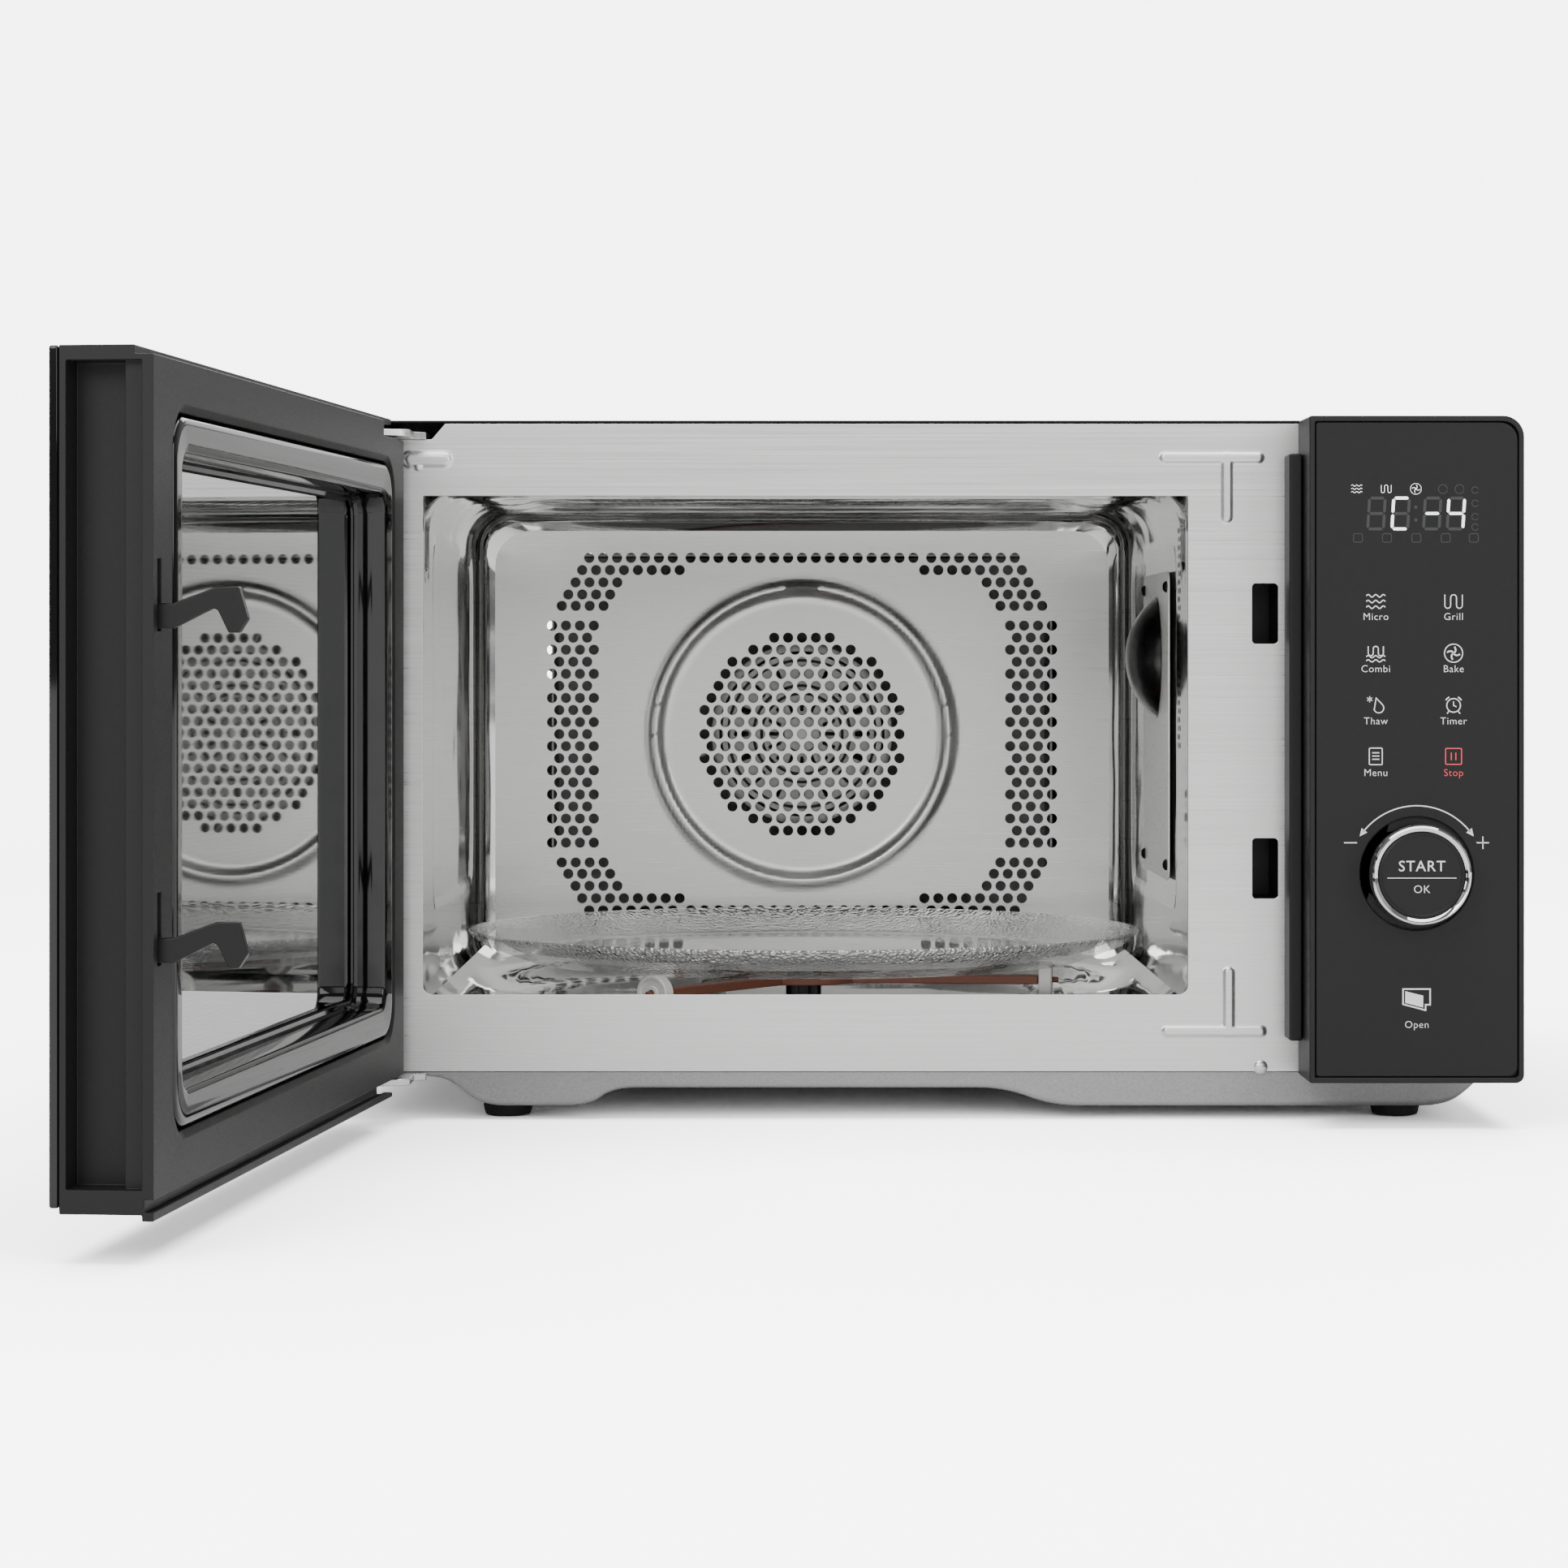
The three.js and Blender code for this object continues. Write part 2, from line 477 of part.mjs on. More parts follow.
function coolingFan() {
  const { x, y, z, radius } = coolFan;
  const frame = box(x - radius - 7, x + radius + 7, y, y + 14, z - radius - 7, z + radius + 7);
  const hole = rod('y', x, y + 7, z, radius + 2, 30, 32);
  part('cooling_fan_shroud', frame.subtract(hole), 0x2b2b2b, 0.6, 0);
  const blades = [];
  for (let blade = 0; blade < 5; blade += 1) {
    blades.push(box(8, radius, -0.8, 0.8, -8, 8).rotate([58, 0, 0]).rotate([0, blade * 72, 0])
      .translate([x, y + 7, z]));
  }
  const rotor = join([
    rod('y', x, y + 7, z, 11, 12, 20),
    rod('y', x, y - 10, z, 2.4, 26, 12),
    ...blades,
  ]);
  part('cooling_fan_rotor', rotor, 0x343434, 0.5, 0);
  const motor = box(x - 24, x + 24, y - 34, y - 6, z - 20, z + 20);
  part('cooling_fan_motor', motor.subtract(rod('y', x, y - 10, z, 2.8, 40, 12)), 0x9a9c9e, 0.45, 0.7);
}

// ---------------------------------------------------------------- latch housing in the cabinet
function latchHousing() {
  const middle = doorEnd - HOOK_INSET;
  const front = SHEET + GAP;
  const rear = HOOK_REACH + 8;
  const low = HOOK_LOWER - 8;
  const high = HOOK_LOWER + HOOK_SPACING + 26;
  const block = box(middle - 9, middle + 11, front, rear, low, high);
  const channels = [0, 1].map((step) => {
    const z = HOOK_LOWER + step * HOOK_SPACING;
    return box(middle - 4.6, middle + 6.6, front - 1, rear - 2, z - 3.2, z + 22.8);
  });
  const relief = box(middle - 20, middle + 6.6, front + 3, rear + 1,
    HOOK_LOWER + 32, HOOK_LOWER + HOOK_SPACING - 12);
  part('latch_housing', cut(block, [...channels, relief]), 0xd9d6cc, 0.6, 0);
  const switchNames = ['primary_switch', 'monitor_switch', 'secondary_switch'];
  switchNames.forEach((name, step) => {
    const z = HOOK_LOWER + 4 + step * 47;
    part(name, box(middle + 11 + GAP, middle + 22, 12, 34, z, z + 16), 0x262626, 0.6, 0);
  });
  const coilZ = HOOK_LOWER + 62;
  const housing = box(middle + 23, middle + 47, 10, 36, coilZ, coilZ + 30);
  const bore = rod('z', middle + 35, 23, coilZ + 15, 5.4, 60, 16);
  part('release_solenoid', housing.subtract(bore), 0x3d4f8a, 0.5, 0);
  const plunger = join([
    rod('z', middle + 35, 23, coilZ + 6, 4.6, 40, 16),
    box(middle + 29, middle + 41, 17, 29, coilZ - 18, coilZ - 14),
  ]);
  part('release_plunger', plunger, 0xb4b6b8, 0.35, 0.9);
}

// ---------------------------------------------------------------- control panel
const panelTop = plateTop + 1.2;
const panelBottom = plateBottom - 1.2;
const knobX = panelLeft + KNOB_FROM_LEFT;
const webFront = -PANEL_DEPTH + 3.2;

function controlPanel() {
  const corner = PANEL_CORNER;
  const outer = slabY(roundedOutline(panelLeft, right, panelBottom, panelTop, 1, 3.5, corner, 1),
    -PANEL_DEPTH, -GAP);
  const insideOutline = (inset) => roundedOutline(panelLeft + inset, right - inset, panelBottom + inset,
    panelTop - inset, 0.6, 1.6, corner - inset, 0.6);
  const faceRoom = slabY(insideOutline(PANEL_WALL), -PANEL_DEPTH - 1, webFront);
  const backRoom = slabY(insideOutline(PANEL_WALL), webFront + 2, 1);
  const knobHole = rod('y', knobX, webFront, KNOB_HEIGHT, 7, 12, 20);
  const displayHole = box(panelLeft + 16, right - 14, webFront - 3, webFront + 5,
    panelTop - 62, panelTop - 24);
  part('panel_housing', cut(outer, [faceRoom, backRoom, knobHole, displayHole]), 0x2f3032, 0.5, 0);

  const face = slabY(insideOutline(PANEL_WALL + GAP), -PANEL_DEPTH + 0.4, webFront - GAP);
  const knobWell = rod('y', knobX, -PANEL_DEPTH, KNOB_HEIGHT, KNOB_RADIUS + KNOB_MARGIN, 12, 36);
  part('panel_face', face.subtract(knobWell), 0x343537, 0.3, 0);
  part('bumper_strip', box(panelLeft - GAP - BUMPER_WIDTH, panelLeft - GAP, -BUMPER_DEPTH - GAP, -GAP,
    panelBottom + 16, panelTop - 15), 0x2a2b2c, 0.6, 0);

  const knobFront = -PANEL_DEPTH - KNOB_PROUD;
  const ringBack = webFront - GAP;
  const inner = KNOB_RADIUS - KNOB_RIM;
  const ring = turned('y', [
    [inner, ringBack], [inner, knobFront + 0.8], [inner + 0.8, knobFront], [KNOB_RADIUS - 0.8, knobFront],
    [KNOB_RADIUS, knobFront + 0.8], [KNOB_RADIUS, ringBack], [inner, ringBack],
  ], knobX, 0, KNOB_HEIGHT, 40);
  part('knob_ring', ring, 0xd8d9da, 0.12, 1);
  const buttonRadius = inner - GAP;
  const buttonBack = ringBack - PRESS_TRAVEL;
  const button = join([
    rod('y', knobX, (knobFront + 0.6 + buttonBack) / 2, KNOB_HEIGHT, buttonRadius,
      buttonBack - knobFront - 0.6, 36),
    rod('y', knobX, webFront + 1.5, KNOB_HEIGHT, 4, 10, 16),
  ]);
  part('confirm_button', button, 0x303133, 0.35, 0);

  const boardFront = -PANEL_DEPTH + 22;
  const encoder = box(knobX - 11, knobX + 11, webFront + 2 + PRESS_TRAVEL + 5, boardFront - GAP,
    KNOB_HEIGHT - 11, KNOB_HEIGHT + 11);
  part('rotary_encoder', encoder, 0x4a4c4e, 0.5, 0.3);
  const board = box(panelLeft + 6, right - 7, boardFront, boardFront + 1.6, panelBottom + 20, panelTop - 12);
  part('control_board', board, 0x2f6b45, 0.5, 0);
  const display = box(panelLeft + 17, right - 15, webFront + GAP, boardFront - GAP,
    panelTop - 61, panelTop - 25);
  part('display_module', display, 0x18191b, 0.3, 0);
}

// ---------------------------------------------------------------- door
// The door is built closed, in a group whose origin is its hinge pivot, and the group is turned
// to where it stands. 's' runs along the door from its hinge edge and 't' outwards from its
// inner face.
const doorLength = doorEnd - left;
const faceTop = plateTop - 1.8;
const faceBottom = plateBottom + 0.6;
const frameTop = plateTop + 1.2;
const frameBottom = plateBottom - 4.5;
const frameFront = DOOR_THICKNESS - GLASS - GAP;
const pivotX = left + HINGE_ALONG;
const pivotY = -DOOR_GAP - HINGE_OUT;
const pocketTop = plateTop - 8.4; // hinge pocket in the door's upper corner
const pocketBottom = faceBottom;
const pocketLength = HINGE_ALONG + 32;

const door = new THREE.Group();
door.position.set(pivotX, pivotY, 0);
door.rotation.z = -THREE.MathUtils.degToRad(DOOR_OPEN);
oven.add(door);

function doorBox(s0, s1, t0, t1, z0, z1) {
  return box(s0 - HINGE_ALONG, s1 - HINGE_ALONG, HINGE_OUT - t1, HINGE_OUT - t0, z0, z1);
}

function doorSlab(s0, s1, z0, z1, radius, t0, t1, segments = 5) {
  const shape = roundedOutline(s0 - HINGE_ALONG, s1 - HINGE_ALONG, z0, z1, radius);
  return slabY(shape, HINGE_OUT - t1, HINGE_OUT - t0, segments);
}

const chokeLeft = LEFT_MARGIN - CHOKE_OVERLAP;
const chokeRight = doorLength - LATCH_MARGIN + CHOKE_OVERLAP;
const chokeBottom = sill - CHOKE_OVERLAP + 1.5;
const chokeTop = lintel + CHOKE_OVERLAP - 3.5;
const hookMiddle = doorLength - HOOK_INSET;
const endWall = doorLength - GRIP_DEPTH;
const barAt = { s0: chokeRight + 4 * GAP, s1: endWall - DOOR_WALL - 3 * GAP, t0: 6, t1: 9 };

function doorFrame() {
  const body = doorBox(0, doorLength, 3, frameFront, frameBottom, frameTop);
  const facePlate = doorBox(0, doorLength, 0, 4, faceBottom, faceTop);
  const dripLip = doorBox(28, doorLength, 0, 4, frameBottom - 2, frameBottom + 1);
  const shell = join([body, facePlate, dripLip]);
  const inside = doorBox(DOOR_WALL, endWall - DOOR_WALL, 5.6, frameFront + 1,
    frameBottom + 2.4, frameTop - 2.4);
  const grip = doorBox(endWall, doorLength + 1, 3.9, frameFront - 2.4, faceBottom + 3, faceTop - 2);
  const lipUnder = doorBox(-1, doorLength + 1, 2.9, 6.4, faceTop, frameTop + 1);
  const chokeHole = doorSlab(chokeLeft - GAP, chokeRight + GAP, chokeBottom - GAP, chokeTop + GAP,
    CHOKE_CORNER + GAP, -1, 7);
  const upperPocket = doorBox(-1, pocketLength, -1, frameFront - 0.6, pocketTop, frameTop - 2.4);
  const lowerPocket = doorBox(-1, pocketLength, -1, frameFront - 0.6, frameBottom - 0.1, pocketBottom);
  const hollow = cut(shell, [inside, grip, lipUnder, chokeHole]);
  const blocks = [
    doorBox(1, HINGE_ALONG + 4.8, HINGE_OUT - 6, frameFront - 1, pocketTop - 20, pocketTop),
    doorBox(1, HINGE_ALONG + 4.8, HINGE_OUT - 6, frameFront - 1, pocketBottom, pocketBottom + 20),
  ];
  const floors = [
    doorBox(0, pocketLength + 2, 3, frameFront, pocketTop - 2.4, pocketTop),
    doorBox(0, pocketLength + 2, 3, frameFront, pocketBottom, pocketBottom + 2.4),
  ];
  const rib = doorBox(endWall - 1, hookMiddle + HOOK_THICKNESS / 2 + GAP + RIB_WALL, 3.5,
    barAt.t1 + GAP + RIB_WALL, faceBottom + 2, faceTop - 1);
  const slots = [0, 1].map((step) => {
    const z = HOOK_LOWER + step * HOOK_SPACING;
    const top = z + HOOK_ARM + HOOK_TRAVEL + 1;
    return doorBox(endWall - DOOR_WALL - 1, hookMiddle + HOOK_THICKNESS / 2 + GAP,
      barAt.t0 - GAP, barAt.t1 + GAP, z - 1, top);
  });
  const mouths = [0, 1].map((step) => {
    const z = HOOK_LOWER + step * HOOK_SPACING;
    return doorBox(hookMiddle - HOOK_THICKNESS / 2 - GAP, hookMiddle + HOOK_THICKNESS / 2 + GAP,
      -1, barAt.t0, z - 1, z + 23);
  });
  const pinBores = [
    rod('z', 0, 0, pocketTop, PIN_RADIUS + GAP, 34, 20),
    rod('z', 0, 0, pocketBottom, PIN_RADIUS + GAP, 34, 20),
  ];
  const bevel = slabZ(outline([
    [-HINGE_ALONG - 1, HINGE_OUT + 1], [-HINGE_ALONG - 1, HINGE_OUT - 2.9],
    [-HINGE_ALONG, HINGE_OUT - 2.9], [-HINGE_ALONG + 4.4, HINGE_OUT], [-HINGE_ALONG + 4.4, HINGE_OUT + 1],
  ]), 0, frameTop + 1);
  const filled = join([hollow, ...blocks, ...floors, rib]);
  const frame = cut(filled, [upperPocket, lowerPocket, ...slots, ...mouths, ...pinBores, bevel]);
  part('door_frame', frame, 0x3c3d3f, 0.6, 0, door);
}

function doorPanels() {
  const glass = doorSlab(0, doorLength, frameBottom + 1.8, frameTop, 1.2,
    DOOR_THICKNESS - GLASS, DOOR_THICKNESS, 3);
  part('door_front_glass', glass, 0x1b1c1d, 0.08, 0, door);
  const ring = doorSlab(chokeLeft, chokeRight, chokeBottom, chokeTop, CHOKE_CORNER,
    0.4, WINDOW_RECESS - GAP);
  const window = doorSlab(chokeLeft + CHOKE_WIDTH, chokeRight - CHOKE_WIDTH, chokeBottom + CHOKE_WIDTH,
    chokeTop - CHOKE_WIDTH, CHOKE_CORNER - 4, -1, WINDOW_RECESS + 1);
  part('door_choke_cover', ring.subtract(window), 0x141414, 0.08, 0, door);
  const lap = CHOKE_WIDTH - 5;
  const inner = doorSlab(chokeLeft + lap, chokeRight - lap, chokeBottom + lap, chokeTop - lap, 8,
    WINDOW_RECESS, WINDOW_RECESS + 2, 3);
  part('door_inner_glass', inner, 0x9aa0a0, 0.04, 0, door);
  const screenT = WINDOW_RECESS + 2 + GAP;
  const rim = chokeLeft - 7;
  const screen = doorBox(rim, chokeRight + 4, screenT, screenT + 9, chokeBottom - 6, chokeTop + 4);
  const dish = doorBox(rim + SHEET, chokeRight + 3, screenT + SHEET, screenT + 10,
    chokeBottom - 5, chokeTop + 3);
  part('door_screen', screen.subtract(dish), 0x77797b, 0.35, 0.9, door);
}

function latch() {
  const hooks = [0, 1].map((step) => {
    const z = HOOK_LOWER + step * HOOK_SPACING;
    const reach = (tau) => HINGE_OUT + tau;
    const profile = [
      [-7.8, 0], [4.9, 0], [18.2, 6.6], [19.9, 6], [23.5, -1.5], [27, -1.5], [HOOK_REACH, 3.1],
      [27, 13.6], [19.5, 13.6], [4.9, HOOK_ARM], [-7.8, HOOK_ARM],
    ].map(([tau, up]) => [reach(tau), z + up]);
    const geometry = new THREE.ExtrudeGeometry(outline(profile),
      { depth: HOOK_THICKNESS, bevelEnabled: false });
    geometry.rotateX(Math.PI / 2);
    geometry.rotateZ(Math.PI / 2);
    geometry.translate(hookMiddle - HOOK_THICKNESS / 2 - HINGE_ALONG, 0, 0);
    return solid(geometry);
  });
  const arms = [0, 1].map((step) => {
    const z = HOOK_LOWER + step * HOOK_SPACING;
    return doorBox(barAt.s0, hookMiddle + HOOK_THICKNESS / 2, barAt.t0, barAt.t1, z, z + HOOK_ARM);
  });
  const bar = doorBox(barAt.s0, barAt.s1, barAt.t0, barAt.t1,
    HOOK_LOWER, HOOK_LOWER + HOOK_SPACING + HOOK_ARM);
  part('latch_hooks', join([...hooks, ...arms, bar]), 0x3a3b3d, 0.5, 0, door);
  const springS = (barAt.s0 + barAt.s1) / 2 - HINGE_ALONG;
  const springT = HINGE_OUT - (barAt.t1 + GAP + 3.4);
  const spring = turned('z', [[2.2, 0], [3.4, 0], [3.4, 34], [2.2, 34], [2.2, 0]],
    springS, springT, HOOK_LOWER + 36, 16);
  part('latch_spring', spring, 0xb0b2b4, 0.35, 0.9, door);
}

// ---------------------------------------------------------------- hinges
function hinges() {
  const reach = PIN_RADIUS + 5.4;
  const shape = new THREE.Shape();
  shape.moveTo(pivotX + 6, -GAP);
  shape.lineTo(pivotX - reach * 0.9, pivotY + reach * 0.5);
  shape.absarc(pivotX, pivotY, reach, Math.PI * 0.83, Math.PI * 1.5);
  shape.lineTo(pivotX + 20.5, pivotY - 2.6);
  shape.lineTo(pivotX + 25, pivotY + 1);
  shape.lineTo(pivotX + 25, -6);
  shape.lineTo(pivotX + 30, -1.8);
  shape.lineTo(pivotX + 30, -GAP);
  const levels = [
    { name: 'upper', z: pocketTop + 1.6, pinFrom: -15, pinTo: BRACKET + 0.6 },
    { name: 'lower', z: panFlangeTop - BRACKET - 0.2, pinFrom: -0.6, pinTo: BRACKET + 15 },
  ];
  for (const { name, z, pinFrom, pinTo } of levels) {
    const plate = slabZ(shape, z, z + BRACKET);
    const tab = box(pivotX + 6, pivotX + 30, -GAP - 0.1, 22, z, z + BRACKET);
    const pin = rod('z', pivotX, pivotY, z + (pinFrom + pinTo) / 2, PIN_RADIUS, pinTo - pinFrom, 20);
    const arm = name === 'upper' ? plate.add(tab) : plate;
    part(`${name}_hinge`, arm.add(pin), 0xc9cacb, 0.35, 1);
  }
}

cabinet();
basePan();
cavity();
turntable();
convection();
microwaveParts();
coolingFan();
latchHousing();
controlPanel();
doorFrame();
doorPanels();
latch();
hinges();

// The origin goes to the middle of the whole object's footprint, on the surface it stands on.
oven.updateMatrixWorld(true);
const whole = new THREE.Box3().setFromObject(oven, true);
oven.position.set(-(whole.min.x + whole.max.x) / 2, -(whole.min.y + whole.max.y) / 2, -whole.min.z);
oven.updateMatrixWorld(true);

export default oven;
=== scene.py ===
"""Microwave oven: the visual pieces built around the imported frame, laid out as an add-on."""

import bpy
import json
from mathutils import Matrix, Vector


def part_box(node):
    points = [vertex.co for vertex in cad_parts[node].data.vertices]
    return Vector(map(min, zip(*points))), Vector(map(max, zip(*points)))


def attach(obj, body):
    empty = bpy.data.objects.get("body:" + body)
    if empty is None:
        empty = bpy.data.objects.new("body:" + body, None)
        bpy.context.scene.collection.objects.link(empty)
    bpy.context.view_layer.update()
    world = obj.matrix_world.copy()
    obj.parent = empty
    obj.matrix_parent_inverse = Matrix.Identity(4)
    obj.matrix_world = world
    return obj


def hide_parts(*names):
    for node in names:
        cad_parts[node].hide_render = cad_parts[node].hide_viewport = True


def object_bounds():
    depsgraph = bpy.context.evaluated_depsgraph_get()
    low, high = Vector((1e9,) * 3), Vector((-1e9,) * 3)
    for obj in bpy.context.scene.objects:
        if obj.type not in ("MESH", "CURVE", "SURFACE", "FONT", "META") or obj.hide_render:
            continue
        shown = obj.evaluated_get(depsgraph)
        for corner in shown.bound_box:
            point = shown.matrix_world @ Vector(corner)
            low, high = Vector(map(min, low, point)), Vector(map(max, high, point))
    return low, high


bl_info = {
    "name": "Microwave oven",
    "version": (1, 0, 0),
    "blender": (4, 5, 0),
    "location": "View3D > Sidebar > Oven",
    "description": "Builds the visible pieces of a countertop microwave oven round its packed frame",
    "category": "Object",
}

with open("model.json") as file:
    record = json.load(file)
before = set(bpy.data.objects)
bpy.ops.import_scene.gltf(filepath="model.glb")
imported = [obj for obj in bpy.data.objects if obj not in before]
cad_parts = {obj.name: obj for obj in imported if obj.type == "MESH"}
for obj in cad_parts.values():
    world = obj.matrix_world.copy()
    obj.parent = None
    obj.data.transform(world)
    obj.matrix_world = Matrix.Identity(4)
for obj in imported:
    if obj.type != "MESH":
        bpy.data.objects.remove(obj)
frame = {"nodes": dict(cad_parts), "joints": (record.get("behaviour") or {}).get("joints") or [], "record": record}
CAD_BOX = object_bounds()

import json
import math

import bmesh
import bpy
from mathutils import Matrix, Vector

MM = 0.001
JOINTS = {joint["name"]: joint for joint in frame["joints"]}
CENTRE = JOINTS["turntable_spin"]["pos_m"]
FACE_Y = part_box("front_plate")[0][1]
PIVOT = JOINTS["door_hinge"]["pos_m"]
DOOR_OPEN = math.radians(JOINTS["door_hinge"]["range_deg"][1])
TURNTABLE_Y = (CENTRE[1] - FACE_Y) / MM
HINGE_ALONG = 13.0  # hinge pivot from the door's hinge edge
HINGE_OUT = 21.0  # hinge pivot from the door's inner face


def at(x, y, z):
    """A place in the cabinet, in mm: x from the cavity's middle, y behind its front, z above the table."""
    return Vector((CENTRE[0] + x * MM, FACE_Y + y * MM, z * MM))


def door_at(s, z, t):
    """A place in the open door, in mm: s from its hinge edge, z above the table, t out from its inside."""
    along = (s - HINGE_ALONG) * MM
    out = (HINGE_OUT - t) * MM
    turn = -DOOR_OPEN
    x = PIVOT[0] + along * math.cos(turn) - out * math.sin(turn)
    y = PIVOT[1] + along * math.sin(turn) + out * math.cos(turn)
    return Vector((x, y, z * MM))


# ------------------------------------------------------------------ materials
def linear(code):
    """Turns an sRGB hex value into a linear colour."""
    parts = [int(code[i:i + 2], 16) / 255 for i in (1, 3, 5)]
    return tuple(c / 12.92 if c <= 0.04045 else ((c + 0.055) / 1.055) ** 2.4 for c in parts) + (1.0,)


def add_node(tree, kind, links=None, values=None, **settings):
    """Adds one node with its settings, its socket values and the sockets that feed it."""
    node = tree.nodes.new(kind)
    for key, value in settings.items():
        setattr(node, key, value)
    for key, value in (values or {}).items():
        node.inputs[key].default_value = value
    for key, source in (links or {}).items():
        tree.links.new(source, node.inputs[key])
    return node


def new_material(name, **surface):
    """A material whose shader's own sockets are set; returns it with its tree and its shader."""
    material = bpy.data.materials.new(name)
    material.use_nodes = True
    tree = material.node_tree
    shader = tree.nodes["Principled BSDF"]
    for key, value in surface.items():
        socket = key.replace("_", " ").capitalize()
        names = {"Base color": "Base Color", "Ior": "IOR", "Coat weight": "Coat Weight",
                 "Specular ior level": "Specular IOR Level", "Emission strength": "Emission Strength"}
        value = linear(value) if isinstance(value, str) else value
        shader.inputs[names.get(socket, socket)].default_value = value
    return material, tree, shader


def placed(tree, scale=(1, 1, 1), turn=(0, 0, 0), kind="Object"):
    """Object coordinates, stretched and turned."""
    source = add_node(tree, "ShaderNodeTexCoord")
    mapping = add_node(tree, "ShaderNodeMapping", {"Vector": source.outputs[kind]},
                       {"Scale": scale, "Rotation": turn})
    return mapping.outputs["Vector"]


def grain(tree, shader, grit, bump, colours=None, rough=None, stretch=(1, 1, 1), detail=3.0,
          coords="Object"):
    """A fine grain, its size in mm: it varies the colour and the roughness and lifts the surface."""
    scale = tuple(1 / (grit * MM) * k for k in stretch)
    noise = add_node(tree, "ShaderNodeTexNoise", {"Vector": placed(tree, scale, kind=coords)},
                     {"Scale": 1.0, "Detail": detail, "Roughness": 0.6})
    value = noise.outputs["Fac"]
    if colours:
        ramp = add_node(tree, "ShaderNodeMix", {"Factor": value}, data_type="RGBA")
        ramp.inputs[6].default_value = linear(colours[0])
        ramp.inputs[7].default_value = linear(colours[1])
        tree.links.new(ramp.outputs[2], shader.inputs["Base Color"])
    if rough:
        spread = add_node(tree, "ShaderNodeMapRange", {"Value": value},
                          {"From Min": 0.3, "From Max": 0.7, "To Min": rough[0], "To Max": rough[1]})
        tree.links.new(spread.outputs["Result"], shader.inputs["Roughness"])
    if bump:
        lift = add_node(tree, "ShaderNodeBump", {"Height": value},
                        {"Strength": 1.0, "Distance": bump * MM})
        tree.links.new(lift.outputs["Normal"], shader.inputs["Normal"])
    return value


def make_brushed_stainless():
    # Ferritic stainless sheet, belt brushed sideways: a satin metal whose fine lines run along X.
    material, tree, shader = new_material("brushed_stainless", base_color="#dcdcdb", metallic=1.0,
                                          roughness=0.33, anisotropic=0.5)
    # The real lines are about 0.05 mm apart; they are drawn 0.5 mm apart so that they show.
    grain(tree, shader, 0.5, 0.002, ("#c9c9c8", "#eeeeed"), (0.26, 0.4), (0.004, 1, 1), 5.0)
    return material


def make_polished_stainless():
    # Bright-annealed stainless, deep drawn: nearly a mirror, with faint long waves from the press.
    material, tree, shader = new_material("polished_stainless", base_color="#bdbdbc",
                                          metallic=1.0, roughness=0.06)
    wave = add_node(tree, "ShaderNodeTexNoise", {"Vector": placed(tree, (1 / 0.06,) * 3)},
                    {"Scale": 1.0, "Detail": 1.0})
    lift = add_node(tree, "ShaderNodeBump", {"Height": wave.outputs["Fac"]},
                    {"Strength": 1.0, "Distance": 1.1 * MM})
    tree.links.new(lift.outputs["Normal"], shader.inputs["Normal"])
    grain(tree, shader, 0.6, 0.0, ("#b5b5b4", "#c5c5c4"), (0.04, 0.08))
    return material


def make_satin_stainless():
    # The same sheet left satin on the cavity's rear wall, lightly brushed sideways.
    material, tree, shader = new_material("satin_stainless", base_color="#cfcfcd", metallic=1.0,
                                          roughness=0.3, anisotropic=0.25)
    grain(tree, shader, 0.5, 0.001, ("#c6c6c4", "#d8d8d6"), (0.26, 0.36), (0.01, 1, 1), 4.0)
    return material


def make_black_lacquered_steel():
    # Baked black lacquer on steel sheet: satin, with a fine orange-peel.
    material, tree, shader = new_material("black_lacquered_steel", base_color="#0f0f0f", roughness=0.42,
                                          specular_ior_level=0.3)
    grain(tree, shader, 0.9, 0.012, ("#0d0d0d", "#121212"), (0.38, 0.48))
    return material


def make_galvanised_steel():
    # Zinc-coated sheet: pale, satin, with a fine frosty speckle.
    material, tree, shader = new_material("galvanised_steel", base_color="#8f8f90", metallic=0.6,
                                          roughness=0.5)
    grain(tree, shader, 0.8, 0.02, ("#7c7c7d", "#b8b8b8"), (0.44, 0.6), detail=5.0)
    return material


def make_zinc_plated_steel():
    # Thick steel stampings with a bright zinc plate.
    material, tree, shader = new_material("zinc_plated_steel", base_color="#cfcfce", metallic=1.0,
                                          roughness=0.24)
    grain(tree, shader, 0.7, 0.004, ("#c4c4c3", "#dadad9"), (0.2, 0.34))
    return material


def make_charcoal_abs():
    # Injection-moulded ABS, spark-eroded tool: matt charcoal with a fine even texture.
    material, tree, shader = new_material("charcoal_abs", base_color="#181818", roughness=0.46,
                                          specular_ior_level=0.28)
    grain(tree, shader, 0.55, 0.03, ("#151515", "#1c1c1c"), (0.42, 0.54))
    return material


def make_black_abs():
    # The same plastic coloured black.
    material, tree, shader = new_material("black_abs", base_color="#0e0e0e", roughness=0.36,
                                          specular_ior_level=0.3)
    grain(tree, shader, 0.55, 0.012, ("#0c0c0c", "#121212"), (0.3, 0.42))
    return material


def make_gloss_black():
    # High-gloss black ABS from a polished tool.
    material, tree, shader = new_material("gloss_black_abs", base_color="#060606", roughness=0.05)
    grain(tree, shader, 14.0, 0.01, ("#040404", "#080808"), (0.04, 0.07), detail=1.0)
    return material


def make_panel_lacquer():
    # Soft-touch charcoal lacquer on the control panel's fascia: smooth, satin.
    material, tree, shader = new_material("satin_charcoal_lacquer", base_color="#1c1c1c", roughness=0.42,
                                          specular_ior_level=0.2)
    grain(tree, shader, 0.5, 0.004, ("#1b1b1b", "#1e1e1e"), (0.38, 0.46))
    return material


